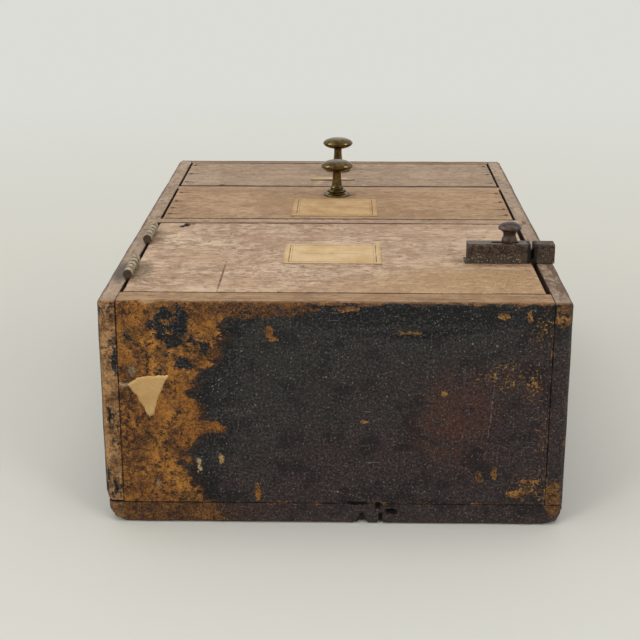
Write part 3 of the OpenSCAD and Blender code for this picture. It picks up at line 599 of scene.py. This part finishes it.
# Case nails: cut iron nails driven through the sides and the back into the boards between them.
# Their heads are flush with the wood and rusted dark.
rust_finish, place = start_finish("rusted_nail_iron")[:2]
spots = clouds(place, 0.7, 4, 0.65)
rust = blend(fade(spots, 0.35, 0.65), tone(46, 36, 31), tone(104, 70, 48))
end_finish(rust_finish, rust, 0.55 + 0.3 * spots, spots, 0.12, metallic=0.35)


def coat(finish, *nodes):
    """Gives CAD nodes that stay in view their finish."""
    for node in nodes:
        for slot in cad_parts[node].material_slots:
            slot.material = finish


coat(rust_finish, "case_nails")


# Dividers: two pine boards housed in the sides, over the cupboard and between the drawers.
# Their front edges are bare and weathered like the fronts, their ends show in the sides' edges.
def front_finish(name, light, dark, grey, seed, marks_and_shade=(), wear=0.3):
    """Bare front wood, its grain along X, with painted shade on its edges in the gaps and painted shadow
    dashes by peeled flakes. A mark is its X and Z, half sizes, a colour and a share: a stain, or painted
    shade.
    """
    finish, place, facing = start_finish(name)
    colour, relief = bare_grain(place, 0, light, dark, grey, seed)
    patchy = clouds(place, 5, 6, 0.68, seed + 10, (0.8, 1.0, 1.0))
    rubbed = fade(clouds(place, 15, 6, 0.66, seed + 12, (0.6, 1.0, 1.0)), 0.53, 0.57)
    wear = wear * (0.35 + 0.65 * fade(parts(place)[0], 70, -10))
    peeling = wear * (0.35 + 0.65 * fade(clouds(place, 36, 3, 0.5, seed + 13), 0.42, 0.58))
    peeled = fade(patchy, 0.53, 0.56)
    colour = blend(rubbed * wear * 0.5, colour, dark)
    colour = blend(fade(patchy, 0.49, 0.43) * peeling * 0.5, colour, tone(219, 195, 171))
    colour = blend(peeled * peeling * 0.45, colour, dark)
    # Painted shadow: short dark dashes stand for the shadows of peeled flakes' edges, in grooves of the
    # relief.
    shadow_dashes = fade(clouds(place, 2.2, 3, 0.6, seed + 14, (0.55, 1.0, 1.0)), 0.6, 0.65)
    colour = blend(shadow_dashes * peeling * 0.8, colour, tone(116, 85, 62))
    relief = relief - peeled * peeling - shadow_dashes
    torn = ragged(place, 1.6, 1.1)
    broken = 0.35 + 0.65 * fade(clouds(place, 2.2, 5, 0.7, seed + 6), 0.4, 0.56)
    outer = fade(facing[1], 0.3, -0.2)
    for stain_x, stain_z, half_x, half_z, stain, share in marks_and_shade:
        spot = patch(torn, (stain_x, 0, stain_z), (half_x, 0, half_z), 0.9)
        colour = blend(spot * broken * outer * share, colour, stain)
    inner = blend(fade(facing[1], -0.6, 0.0), colour, tone(226, 204, 168), "MULTIPLY")
    # Painted shade: faces at the very front that turn away from it, the edges in the gaps, go dark brown.
    gap_edge_shade = fade(facing[1], -0.9, -0.4) * fade(parts(place)[1], -60.5, -63)
    colour = blend(gap_edge_shade * 0.85, inner, tone(70, 48, 37))
    dents = fade(clouds(place, 9, 4, 0.6, seed + 5), 0.6, 0.72)
    roughness = 0.68 + 0.15 * relief
    return end_finish(finish, colour, roughness, relief + 0.4 * dents, 0.25, 0.3)


rail_finish = front_finish("bare_rail_wood", tone(192, 164, 136), tone(146, 112, 86), tone(180, 152, 128), 40)
for number, node in enumerate(("lower_divider", "upper_divider")):
    rounds = {"front top": 0.9, "front under": 0.9}
    points, quads = worn_board(node, rounds, 0.4, dip=0.05, seed=number + 11.5)
    edge_end = box_mm(node)[0][1] + 3
    set_back = 0.7 * number
    for point in points:
        point[1] += set_back if point[1] < edge_end else 0
    show("worn_" + node, points, quads, rail_finish, "case", "bare_wood", node)


# Door stop: a bare pine strip glued up the inside of the right side, where the closed door meets it.
# It is unfinished like the rest of the inside.
def lining_finish(name, along, seed):
    """Unfinished inside wood, yellower than the fronts, with the grain along an axis."""
    finish, place = start_finish(name)[:2]
    colour, relief = bare_grain(
        place, along, tone(186, 152, 110), tone(150, 114, 76), tone(168, 138, 102), seed
    )
    handled = fade(clouds(place, 26, 4, 0.6, seed + 6), 0.52, 0.66)
    colour = blend(handled * 0.45, colour, tone(112, 84, 58))
    return end_finish(finish, colour, 0.7 + 0.2 * relief, relief, 0.12, 0.3)


stop_finish = lining_finish("stop_wood", 2, 50)
board = worn_board("door_stop", plain=0.7, seed=14.5)
show("worn_door_stop", *board, stop_finish, "case", "inner_wood", "door_stop")


# Paper scrap: the torn rest of a paper once pasted to the underside of the base.
# It is thin, yellowed and glued flat.
def paper_finish(name, light, stained, seed, rules=None, down_shade=0.0):
    """Aged paper, browner at its worn spots, with painted shade on faces turned down, such as a lifted lower
    edge.

    rules gives the printed border's middle and half size.
    """
    finish, place, facing = start_finish(name)
    pulp = clouds(place, 0.9, 4, 0.6, seed)
    stain = clouds(place, 13, 4, 0.55, seed + 1)
    colour = blend(fade(stain, 0.3, 0.75) * 0.75, light, stained)
    colour = blend(fade(pulp, 0.55, 0.75) * 0.25, colour, stained)
    # Painted shade: faces turned down, the curled lower edge, go dark brown by a share.
    colour = blend(fade(facing[2], -0.4, -0.8) * down_shade, colour, tone(62, 43, 32))
    fox = specks(place, 5, 0.8, 0.25, seed)
    colour = blend(fox * 0.4, colour, tone(140, 98, 56))
    creases = fade(abs(clouds(place, 9, 3, 0.5, seed + 4) - 0.5), 0.03, 0.0)
    colour = blend(creases * 0.3, colour, stained)
    if rules:
        (middle_x, middle_z), (half_x, half_z) = rules
        x, z = parts(place)[::2]
        across = abs(x - middle_x)
        up = abs(z - middle_z)
        off = (across - half_x).most(up - half_z)
        line = fade(abs(off), 0.42, 0.16).most(fade(abs(off + 1.4), 0.2, 0.1) * 0.5)
        writing = fade(up, 0.4, 0.16) * fade(across, half_x - 6, half_x - 6.4)
        ink = line.most(writing * 0.8) * fade(clouds(place, 3, 4, 0.6, seed + 2), 0.36, 0.48)
        colour = blend(ink * 0.85, colour, tone(78, 56, 38))
    return end_finish(finish, colour, 0.75 + 0.15 * pulp, pulp - creases, 0.08, 0.25)


def torn_paper(outline, rows, lift, seed):
    """Points and faces of a thin sheet spun in rings from its middle to an outline of (across, up) points.

    lift gives how far the sheet stands off its bed at a place; its back lies on the bed.
    """
    count = len(outline)
    middle = [sum(point[axis] for point in outline) / count for axis in (0, 1)]
    front = [(*middle, lift(*middle))]
    for row in range(1, rows + 1):
        share = row / rows
        for across, up in outline:
            here = [middle[i] + ((across, up)[i] - middle[i]) * share for i in (0, 1)]
            ripple = 0.03 * noise.noise((here[0] / 6, here[1] / 6, seed))
            front.append((*here, lift(*here) + ripple))
    faces = []
    for i in range(count):
        after = (i + 1) % count
        faces.append((0, 1 + i, 1 + after))
        for row in range(rows - 1):
            ring = 1 + row * count
            faces.append((ring + i, ring + count + i, ring + count + after, ring + after))
    size = len(front)
    back = [(across, up, -0.12) for across, up, height in front]
    faces += [tuple(size + index for index in reversed(face)) for face in faces]
    last = 1 + (rows - 1) * count
    for i in range(count):
        after = (i + 1) % count
        faces.append((last + i, size + last + i, size + last + after, last + after))
    return front + back, faces


def torn_outline(corners, spacing, tear, seed):
    """Points along the sides of a polygon, moved in and out by up to tear."""
    outline = []
    for (ax, ay), (bx, by) in zip(corners, corners[1:] + corners[:1]):
        length = hypot(bx - ax, by - ay)
        steps = max(1, round(length / spacing))
        for i in range(steps):
            px = ax + (bx - ax) * i / steps
            py = ay + (by - ay) * i / steps
            coarse = noise.noise((px / 3.1, py / 3.1, seed))
            fine = noise.noise((px / 0.9, py / 0.9, seed))
            move = tear * (coarse + 0.6 * fine)
            outline.append((px + (by - ay) / length * move, py - (bx - ax) / length * move))
    return outline


scrap_corners = [
    (-111.8, -17), (-106, -21.4), (-97, -21.8), (-89.6, -22.4), (-92.4, -16.6), (-95.6, -9), (-98.8, 0.6),
    (-100.6, 1.8), (-104, -5), (-107.7, -11.4)
]
scrap_outline = torn_outline(scrap_corners, 0.6, 0.7, 3.5)
points, faces = torn_paper(scrap_outline, 6, lambda across, up: 0.05, 3.5)
bed = 0.2
points = [(across, up, bed - height) for across, up, height in points]
faces = [face[::-1] for face in faces]
scrap_finish = paper_finish("scrap_paper", tone(222, 184, 124), tone(196, 152, 94), 60)
show("base_paper_scrap", points, faces, scrap_finish, "case", "paper")


# Hinges: two steel butt hinges with five knuckles, their leaves let into the side and the door's edge.
# They are grey with age, brown in the corners, and held by small countersunk screws.
def softened(node, width):
    """Points and faces of a CAD node with its sharp edges rounded off by a width in millimetres."""
    shape = bmesh.new()
    shape.from_mesh(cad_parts[node].data)
    bmesh.ops.remove_doubles(shape, verts=shape.verts, dist=1e-6)
    bmesh.ops.dissolve_limit(shape, angle_limit=radians(1), verts=shape.verts, edges=shape.edges)
    sharp = [edge for edge in shape.edges if edge.calc_face_angle(0) > radians(32)]
    bmesh.ops.bevel(
        shape, geom=sharp, offset=width * MM, offset_type="OFFSET", segments=3, profile=0.5, affect="EDGES",
        clamp_overlap=True
    )
    bmesh.ops.triangulate(shape, faces=[face for face in shape.faces if len(face.verts) > 4])
    points = [vert.co / MM for vert in shape.verts]
    faces = [[vert.index for vert in face.verts] for face in shape.faces]
    shape.free()
    return points, faces


def keep_edges(piece):
    """Shades flat faces flat beside small rounded edges."""
    normals = piece.modifiers.new("flat_faces", "WEIGHTED_NORMAL")
    normals.keep_sharp = True
    return piece


def hinge_steel(name, start, length):
    """Grey worn steel, dark in the joints between the five knuckles of a barrel that starts at a height."""
    finish, place, facing = start_finish(name)
    patina = clouds(place, 2.2, 5, 0.65)
    grain = clouds(place, 0.5, 3, 0.6, 2)
    steel = blend(fade(patina, 0.35, 0.62), tone(116, 97, 76), tone(198, 179, 152))
    steel = blend(fade(grain, 0.52, 0.68) * 0.6, steel, tone(84, 62, 47))
    knuckle = (parts(place)[2] - start) * (5 / length)
    joint = abs(knuckle.math("FRACT", knuckle + 0.5) - 0.5)
    steel = blend(fade(joint, 0.16, 0.07) * 0.95, steel, tone(46, 33, 26))
    steel = blend(fade(facing[2], -0.6, -0.9) * 0.75, steel, tone(84, 66, 52))
    return end_finish(finish, steel, 0.45 + 0.3 * grain, grain, 0.1, metallic=0.35)


for hinge in ("lower_hinge", "upper_hinge"):
    low, high = box_mm(f"{hinge}_pin")
    hinge_finish = hinge_steel(f"aged_{hinge}_steel", low[2], high[2] - low[2])
    for leaf, body in (("frame_leaf", "case"), ("door_leaf", "door")):
        node = f"{hinge}_{leaf}"
        keep_edges(show("worn_" + node, *softened(node, 0.18), hinge_finish, body, "hinge_metal", node))
    coat(hinge_finish, f"{hinge}_pin")
coat(rust_finish, "hinge_frame_screws", "hinge_door_screws")


# Door: one pine board, bare and weathered, hung on the left. Two old nail holes have broken out
# by its upper left corner, and knocks and scratches have been left by use.
# The latch's surround is dirty, and its darker halo is painted shade where the latch would shade the door.
latch_dirt_and_shade = tone(112, 82, 60)
door_marks_and_shade = (
    # The first two marks are painted shade, near black inside the broken-out nail holes.
    (-97, 168.5, 1.9, 4.6, tone(48, 32, 25), 2.0),
    (-99.6, 164.5, 1.9, 2.6, tone(48, 32, 25), 2.0),
    (-93.5, 171, 2.0, 2.0, tone(84, 60, 46), 1.0),
    (84, 34, 64, 34, tone(170, 134, 88), 0.85),
    (10, 24, 60, 14, tone(178, 142, 106), 0.4),
    (-62, 92, 34, 18, tone(168, 132, 102), 0.45),
    (-80, 48, 38, 5, tone(164, 128, 96), 0.5),
    (-43, 39, 20, 6, tone(164, 126, 94), 0.5),
    (94, 75, 23, 4, tone(146, 102, 68), 0.6),
    (94, 82, 20, 9, latch_dirt_and_shade, 0.5),
    (72, 84, 7, 5, latch_dirt_and_shade, 0.6),
    (-112, 57, 7, 20, tone(124, 108, 82), 0.9),
    (-112, 136, 6, 18, tone(132, 112, 90), 0.7),
    (-64, 48, 0.6, 27, tone(104, 76, 57), 1.2),
    # Painted shadow line along the door's top edge, in the gap under the divider.
    (0, 174, 0, 1.6, tone(84, 54, 42), 0.8),
)
door_finish = front_finish(
    "bare_door_wood", tone(210, 182, 155), tone(158, 122, 90), tone(199, 170, 143), 70, door_marks_and_shade, 0.9
)
door_bites = (
    ((-97, front_face, 168.5), (1.6, 4, 4.0), (0, 3.4, 0)),
    ((-99.6, front_face, 164.5), (1.6, 4, 2.2), (0, 2.8, 0)),
)
board = worn_board(
    "door_panel", {"front top": 1.5, "left front": 1.2}, 0.8, 1.2, 4.0, bites=door_bites, seed=21.5
)
show("worn_door_panel", *board, door_finish, "door", "bare_wood", "door_panel")


# Labels: printed paper pasted to the door and the drawers, yellowed and chipped along the edges.
# A whole one has a printed border and a writing line.
def label(node, finish, body, seed, corners=None, curl=0.0):
    """Paper in a label node's box, its edges worn, and its corners and, by curl, its lower edge lifted."""
    low, high = box_mm(node)
    corners = corners or [(low[0], low[2]), (high[0], low[2]), (high[0], high[2]), (low[0], high[2])]
    outline = torn_outline(corners, 0.8, 0.35, seed)
    wide = (high[0] - low[0]) / 2
    tall = (high[2] - low[2]) / 2

    def lift(across, up):
        from_corner = (abs(across - low[0] - wide) / wide) * (abs(up - low[2] - tall) / tall)
        return 0.06 + 0.14 * max(0, from_corner - 0.55) + curl * max(0, 1 - (up - low[2]) / 2.5) ** 2

    points, faces = torn_paper(outline, 12, lift, seed)
    points = [(across, high[1] - height, up) for across, up, height in points]
    show("aged_" + node, points, faces, finish, body, "paper", node)


def border(node, margin):
    """Middle and half size of the border printed on a label node."""
    low, high = box_mm(node)
    middle = ((low[0] + high[0]) / 2, (low[2] + high[2]) / 2)
    return middle, ((high[0] - low[0]) / 2 - margin, (high[2] - low[2]) / 2 - margin)


door_label_finish = paper_finish(
    "door_label_paper", tone(213, 184, 142), tone(190, 154, 106), 80, border("door_label", 3.2), 0.6
)
label("door_label", door_label_finish, "door", 31.5)


# Latch: a cast-iron cupboard latch screwed to the door from inside, with a sliding bolt, a bowed spring
# and a turned knob in a slot, and a keeper on the right side. Black-brown, its faces polished by fingers.
def cast_iron(name, rubbed_share):
    """Old cast iron, brown-black and pitted, with pale specks, its face rubbed bright by a share, and painted
    black shade on its end faces and by the keeper's gap.
    """
    finish, place, facing = start_finish(name)
    scale = clouds(place, 2.4, 5, 0.65)
    pits = clouds(place, 0.5, 3, 0.6, 2)
    iron = blend(fade(scale, 0.42, 0.6), tone(25, 17, 14), tone(82, 60, 47))
    iron = blend(fade(pits, 0.5, 0.64) * 0.4, iron, tone(118, 98, 82))
    iron = blend(fade(pits, 0.46, 0.34) * 0.8, iron, tone(18, 13, 11))
    x, y = parts(place)[:2]
    dusty = fade(y, -71.5, -67.5)
    iron = blend(dusty * 0.3, iron, tone(88, 82, 68))
    iron = blend(specks(place, 1.0, 0.4, 0.3, 4) * (0.3 + 0.7 * dusty), iron, tone(190, 181, 156))
    rubbed = fade(facing[1], -0.8, -0.98) * rubbed_share * (0.6 + 0.4 * fade(scale, 0.3, 0.5))
    iron = blend(rubbed, iron, tone(126, 115, 104))
    # Painted shade: the ends and the gap between the case and the keeper go near black.
    gap_shade = fade(abs(x - 113.9), 3.2, 2.4)
    iron = blend(gap_shade.most(fade(abs(facing[0]), 0.6, 0.9) * 0.75), iron, tone(14, 10, 9))
    gloss = 0.5 + 0.2 * pits - 0.12 * rubbed
    return end_finish(finish, iron, gloss, scale + 0.6 * pits, 0.12, metallic=0.3 + 0.4 * rubbed)


case_iron = cast_iron("rubbed_latch_iron", 0.65)
iron_finish = cast_iron("old_latch_iron", 0.2)
for node, body, width, finish in (
    ("latch_plate", "door", 0.25, iron_finish), ("latch_case", "door", 0.4, case_iron),
    ("latch_keeper", "case", 0.3, iron_finish), ("latch_bolt", "latch_slider", 0.5, iron_finish)
):
    keep_edges(show("worn_" + node, *softened(node, width), finish, body, "iron", node))
coat(iron_finish, "latch_screws", "keeper_screw")
coat(hinge_finish, "latch_spring")


def flow(corners, steps=6):
    """Points on a smooth curve through the corners of a profile."""
    curve = []
    for i in range(len(corners) - 1):
        before, here, there, after = (
            Vector(corners[max(0, min(len(corners) - 1, i + k))]) for k in (-1, 0, 1, 2)
        )
        for step in range(steps):
            t = step / steps
            pull = there - before
            turn = 2 * before - 5 * here + 4 * there - after
            bend = 3 * here - before - 3 * there + after
            curve.append(0.5 * (2 * here + t * pull + t * t * turn + t * t * t * bend))
    return curve + [Vector(corners[-1])]


def turned(profile, middle, segments=96):
    """Points and faces of a profile of (radius, height) turned about an axis that points out of the front."""
    points = []
    for radius, height in profile:
        for i in range(segments):
            turn = 2 * pi * i / segments
            across = middle[0] + radius * cos(turn)
            points.append((across, middle[1] - height, middle[2] + radius * sin(turn)))
    faces = [tuple(range(segments))[::-1]]
    for ring in range(len(profile) - 1):
        for i in range(segments):
            after = (i + 1) % segments
            a = ring * segments
            b = a + segments
            faces.append((a + i, a + after, b + after, b + i))
    faces.append(tuple(range(len(points) - segments, len(points))))
    return points, faces


knob_low, knob_high = box_mm("latch_knob")
foot_gap = 0.2
latch_face = box_mm("latch_case")[0][1] - foot_gap
knob_middle = ((knob_low[0] + knob_high[0]) / 2, latch_face, (knob_low[2] + knob_high[2]) / 2)
knob_r = (knob_high[0] - knob_low[0]) / 2
stem_deep = latch_face - knob_high[1]
stem_r = 1.5
knob_tall = latch_face - knob_low[1]
knob_shape = [(stem_r, stem_deep), (stem_r, 0)] + flow([
    (share * knob_r, rise * knob_tall) for share, rise in (
        (0.6, 0), (0.66, 0.05), (0.67, 0.13), (0.62, 0.21), (0.56, 0.3), (0.54, 0.4), (0.58, 0.49),
        (0.69, 0.57), (0.84, 0.625), (0.955, 0.665), (1, 0.71), (0.98, 0.755), (0.9, 0.82), (0.75, 0.89),
        (0.54, 0.95), (0.28, 0.988), (0.02, 1)
    )
])
knob_finish, place = start_finish("handled_latch_knob")[:2]
worn = clouds(place, 2.6, 4, 0.6)
knob_colour = blend(fade(worn, 0.4, 0.6), tone(40, 26, 21), tone(82, 61, 50))
end_finish(knob_finish, knob_colour, 0.3 + 0.2 * worn, worn, 0.08, 0.4)
knob = turned(knob_shape, knob_middle)
show("turned_latch_knob", *knob, knob_finish, "latch_slider", "iron", "latch_knob")


# Drawers: a thick bare front nailed to thinner sides, a back and a bottom slid into grooves.
# The fronts show the nails as rusty streaks along the grain, and the lower one is the yellower.
def nail_heads(node, plane):
    """Heights of the nails that show in a drawer's front, from the node's own mesh."""
    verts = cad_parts[node].data.vertices
    heights = sorted(vert.co.z / MM for vert in verts if vert.co.y / MM < plane + 0.1)
    groups = [[heights[0]]]
    for height in heights[1:]:
        if height - groups[-1][-1] > 3:
            groups.append([])
        groups[-1].append(height)
    return [sum(group) / len(group) for group in groups]


drawer_woods = {
    "lower": (tone(186, 153, 119), tone(142, 106, 73), tone(174, 141, 108), 90),
    "upper": (tone(186, 160, 135), tone(144, 116, 91), tone(176, 152, 130), 100),
}
rust_stain = tone(84, 58, 42)
for drawer, (light, dark, grey, seed) in drawer_woods.items():
    body = f"{drawer}_drawer"
    low, high = box_mm(f"{body}_front")
    marks_and_shade = []
    for height in nail_heads(f"{body}_nails", low[1]):
        marks_and_shade.append((low[0] + 6, height, 5.5, 1.2, rust_stain, 0.9))
        marks_and_shade.append((high[0] - 5, height, 4.5, 1.0, rust_stain, 0.7))
    if drawer == "upper":
        marks_and_shade.append((-85, 290.5, 3.4, 1.8, tone(48, 33, 27), 0.9))
    if drawer == "lower":
        # Painted shadow line along the lower drawer's bottom edge, in the gap over the divider.
        marks_and_shade.append((0, low[2], 0, 1.8, tone(84, 56, 42), 1.4))
        marks_and_shade.append((-2, 225, 42, 30, tone(176, 134, 88), 0.35))
    finish = front_finish(f"bare_{drawer}_drawer_wood", light, dark, grey, seed, marks_and_shade)
    board = worn_board(
        f"{body}_front", {"front top": 1.0, "front under": 1.0}, 0.7, 1.1, 4.0, 0.12, seed=seed / 3 + 0.5
    )
    show(f"worn_{body}_front", *board, finish, body, "bare_wood", f"{body}_front")
    for piece, along in (("left", 1), ("right", 1), ("back", 0), ("bottom", 0)):
        node = f"{body}_{piece}"
        board = worn_board(node, plain=0.6, step=8.0, dip=0.05, seed=seed / 4 + along)
        inner_finish = lining_finish(f"{node}_wood", along, seed + 7)
        show("worn_" + node, *board, inner_finish, body, "inner_wood", node)
    coat(rust_finish, f"{body}_nails", f"{body}_knob_screw")

lower_label_finish = paper_finish(
    "lower_label_paper", tone(196, 163, 120), tone(170, 130, 82), 110, border("lower_drawer_label", 3.6), 0.6
)
label("lower_drawer_label", lower_label_finish, "lower_drawer", 41.5)
low, high = box_mm("upper_drawer_label")
left = low[0]
right = high[0]
foot = low[2]
remnant = [
    (left, foot + 0.6), (left + 14, foot), (right - 10, foot + 0.4), (right, foot), (right - 0.5, foot + 4.5),
    (right - 5, foot + 6), (right - 7, foot + 11), (left + 21, foot + 8), (left + 15, foot + 12),
    (left + 9, foot + 10.5), (left + 6, foot + 14), (left + 1, foot + 9)
]
upper_label_finish = paper_finish(
    "upper_label_paper", tone(208, 182, 148), tone(178, 144, 106), 120, None, 0.9
)
label("upper_drawer_label", upper_label_finish, "upper_drawer", 51.5, remnant, 0.7)


# Knobs: turned brass with a lens-shaped head on a slim stem, each on a thin pressed rose and held by a
# screw from inside the drawer. The brass has gone dark and olive, and hands keep it glossy.
brass_finish, place = start_finish("tarnished_brass")[:2]
tarnish = clouds(place, 3.5, 5, 0.6)
fine = clouds(place, 0.6, 3, 0.6, 2)
brass = blend(fade(tarnish, 0.35, 0.65), tone(76, 60, 34), tone(116, 95, 54))
brass = blend(fade(fine, 0.54, 0.72) * 0.4, brass, tone(44, 31, 18))
end_finish(brass_finish, brass, 0.16 + 0.12 * fine, fine, 0.02, metallic=0.9)
head_half = 3.8
foot_corners = (
    (5.4, 0), (5.3, 0.4), (5.6, 0.85), (6.4, 1.15), (6.7, 1.7), (6.6, 2.3), (6, 2.65), (5, 2.78), (4.5, 3.1),
    (4.7, 3.8), (4.55, 4.4), (4, 5), (3.6, 6.2), (3.25, 8.3), (3, 11), (2.92, 13.5)
)
for body in ("lower_drawer", "upper_drawer"):
    rose_low, rose_high = box_mm(f"{body}_rose")
    low, high = box_mm(f"{body}_knob")
    plane = rose_high[1]
    middle = ((low[0] + high[0]) / 2, plane, (low[2] + high[2]) / 2)
    rose_r = (rose_high[0] - rose_low[0]) / 2
    rose_t = rose_high[1] - rose_low[1]
    rose_shape = [(rose_r, -0.2)] + flow([
        (rose_r, 0.2 * rose_t), (0.985 * rose_r, 0.6 * rose_t), (0.93 * rose_r, 0.85 * rose_t),
        (0.84 * rose_r, 0.7 * rose_t), (0.78 * rose_r, 0.92 * rose_t), (0.7 * rose_r, rose_t)
    ]) + [(0.2, rose_t)]
    show(f"pressed_{body}_rose", *turned(rose_shape, middle), brass_finish, body, "brass", f"{body}_rose")
    head_r = (high[0] - low[0]) / 2
    tall = plane - low[1]
    rim = tall - head_half
    head_corners = [
        (2.95, -5), (3.3, -4.2), (4.5, -3.8), (6.2, -3.45), (8, -2.9), (9.7, -2), (10.8, -1.05), (head_r, 0),
        (10.8, 1.05), (9.7, 2), (8, 2.8), (6.2, 3.35), (3.5, 3.7), (0.2, head_half)
    ]
    knob_shape = [(5.4, rose_t - 0.05)] + flow(
        [(radius, rose_t + rise) for radius, rise in foot_corners]
        + [(radius, rim + rise) for radius, rise in head_corners]
    )
    show(f"turned_{body}_knob", *turned(knob_shape, middle), brass_finish, body, "brass", f"{body}_knob")


# Stage: a plain pale floor under the standing cupboard, and the same pale surface behind its back, on
# which it lies in the photograph. Each is seen from its front only and takes the object's shadow.
stage_finish = bpy.data.materials.new("pale_stage")
stage_finish.use_nodes = True
stage_finish.node_tree.nodes.clear()
first = Socket(stage_finish.node_tree)
where = first.node("TexCoord", {}, {}, "Object")
away = where.node("VectorMath", {"operation": "LENGTH"}, {0: where}, "Value")
far_tone = tone(219, 220, 214)
level = abs(parts(first.node("NewGeometry", {}, {}, "Normal"))[2])
lit_wall = first.node("BsdfDiffuse", {}, {"Color": tone(215, 214, 206)})
lit_floor = first.node("BsdfDiffuse", {}, {"Color": tone(246, 245, 238)})
lit = first.node("MixShader", {}, {0: level, 1: lit_wall, 2: lit_floor})
near_glow = first.node("Emission", {}, {"Color": tone(212, 210, 199)})
far_glow = first.node("Emission", {}, {"Color": far_tone})
glow = first.node("MixShader", {}, {0: fade(away, 0.45, 1.7), 1: near_glow, 2: far_glow})
surface = first.node("MixShader", {}, {0: fade(away, 0.3, 0.75), 1: lit, 2: glow})
clear = first.node("BsdfTransparent", {}, {})
behind = first.node("NewGeometry", {}, {}, "Backfacing")
first.node("OutputMaterial", {}, {"Surface": first.node("MixShader", {}, {0: behind, 1: surface, 2: clear})})
case_low, case_high = cad_box
stage_size = 9.0
wall_y = case_high[1] + 0.0003
floor_corners = [(-1, -1, 0), (1, -1, 0), (1, 1, 0), (-1, 1, 0)]
wall_corners = [(-1, 0, -1), (1, 0, -1), (1, 0, 1), (-1, 0, 1)]
for name, corners, spot in (
    ("stage_floor", floor_corners, (0, 0, -0.0004)), ("stage_wall", wall_corners, (0, wall_y, 0))
):
    mesh = bpy.data.meshes.new(name)
    mesh.from_pydata([Vector(corner) * stage_size for corner in corners], [], [(0, 1, 2, 3)])
    mesh.materials.append(stage_finish)
    sheet = bpy.data.objects.new(name, mesh)
    sheet.location = spot
    bpy.context.scene.collection.objects.link(sheet)
    sheet.visible_shadow = False
    sheet.visible_diffuse = False


# Light and camera: a large soft lamp in front, weaker ones low at both sides, behind and above, two
# windows that only polished surfaces mirror, and a pale world. The camera sees the cupboard lying on
# its back, its base towards the lens.
aim = (case_low + case_high) / 2


def lamp(name, place, size, power, mirrored=True, lighting=True):
    """A soft square lamp that faces the cupboard, mirrored by what is polished and lighting the rest."""
    light = bpy.data.lights.new(name, "AREA")
    light.size = size
    light.energy = power
    held = bpy.data.objects.new(name, light)
    held.location = place
    held.rotation_euler = (aim - Vector(place)).to_track_quat("-Z", "Y").to_euler()
    held.visible_camera = False
    held.visible_glossy = mirrored
    held.visible_diffuse = lighting
    bpy.context.scene.collection.objects.link(held)


lamp("key", (-0.2, -1.8, -0.1), 1.6, 10, False)
lamp("left_fill", (-1.0, -0.75, -1.2), 0.55, 7)
lamp("right_fill", (1.0, -0.75, -1.2), 0.55, 6.5)
lamp("back_fill", (0.9, 1.5, 1.1), 1.2, 9)
lamp("top_fill", (0.2, -0.4, 2.2), 1.2, 3, False)
lamp("left_window", (-1.1, -1.1, 0.1), 0.6, 11, lighting=False)
lamp("right_window", (1.1, -1.1, 0.1), 0.45, 5, lighting=False)

world = bpy.data.worlds.new("pale_room")
bpy.context.scene.world = world
world.use_nodes = True
world.node_tree.nodes.clear()
first = Socket(world.node_tree)
seen = first.node("LightPath", {}, {}, "Is Camera Ray")
for way in ("Is Glossy Ray", "Is Transmission Ray"):
    seen = seen.most(first.node("LightPath", {}, {}, way))
towards = parts(first.node("TexCoord", {}, {}, "Generated"))
brightness = (0.3 + 0.4 * fade(towards[1], 0.5, -0.9)) * (0.55 + 0.45 * fade(towards[2], -0.95, -0.2))
dark_room = first.node("Background", {}, {"Color": (0, 0, 0, 1), "Strength": 1.0})
light_room = first.node("Background", {}, {"Color": tone(255, 254, 250), "Strength": 1.0})
room = first.node("MixShader", {}, {0: brightness, 1: dark_room, 2: light_room})
backdrop = first.node("Background", {}, {"Color": far_tone, "Strength": 1.0})
first.node("OutputWorld", {}, {"Surface": first.node("MixShader", {}, {0: seen, 1: room, 2: backdrop})})

pitch = radians(17.88)
yaw = radians(-1.18)
laid = Matrix.Rotation(radians(90), 4, "X")
eye = Vector((0.0066, -0.6894, 0.3414))
camera_data = bpy.data.cameras.new("camera")
camera_data.sensor_width = 36
camera_data.lens = 76.8
camera = bpy.data.objects.new("camera", camera_data)
turn = laid @ Matrix.Rotation(-yaw, 4, "Z") @ Matrix.Rotation(radians(90) - pitch, 4, "X")
camera.matrix_world = Matrix.Translation(laid @ eye + Vector((0, case_high[1], 0))) @ turn
bpy.context.scene.collection.objects.link(camera)
bpy.context.scene.camera = camera
bpy.context.scene.view_settings.view_transform = "Standard"
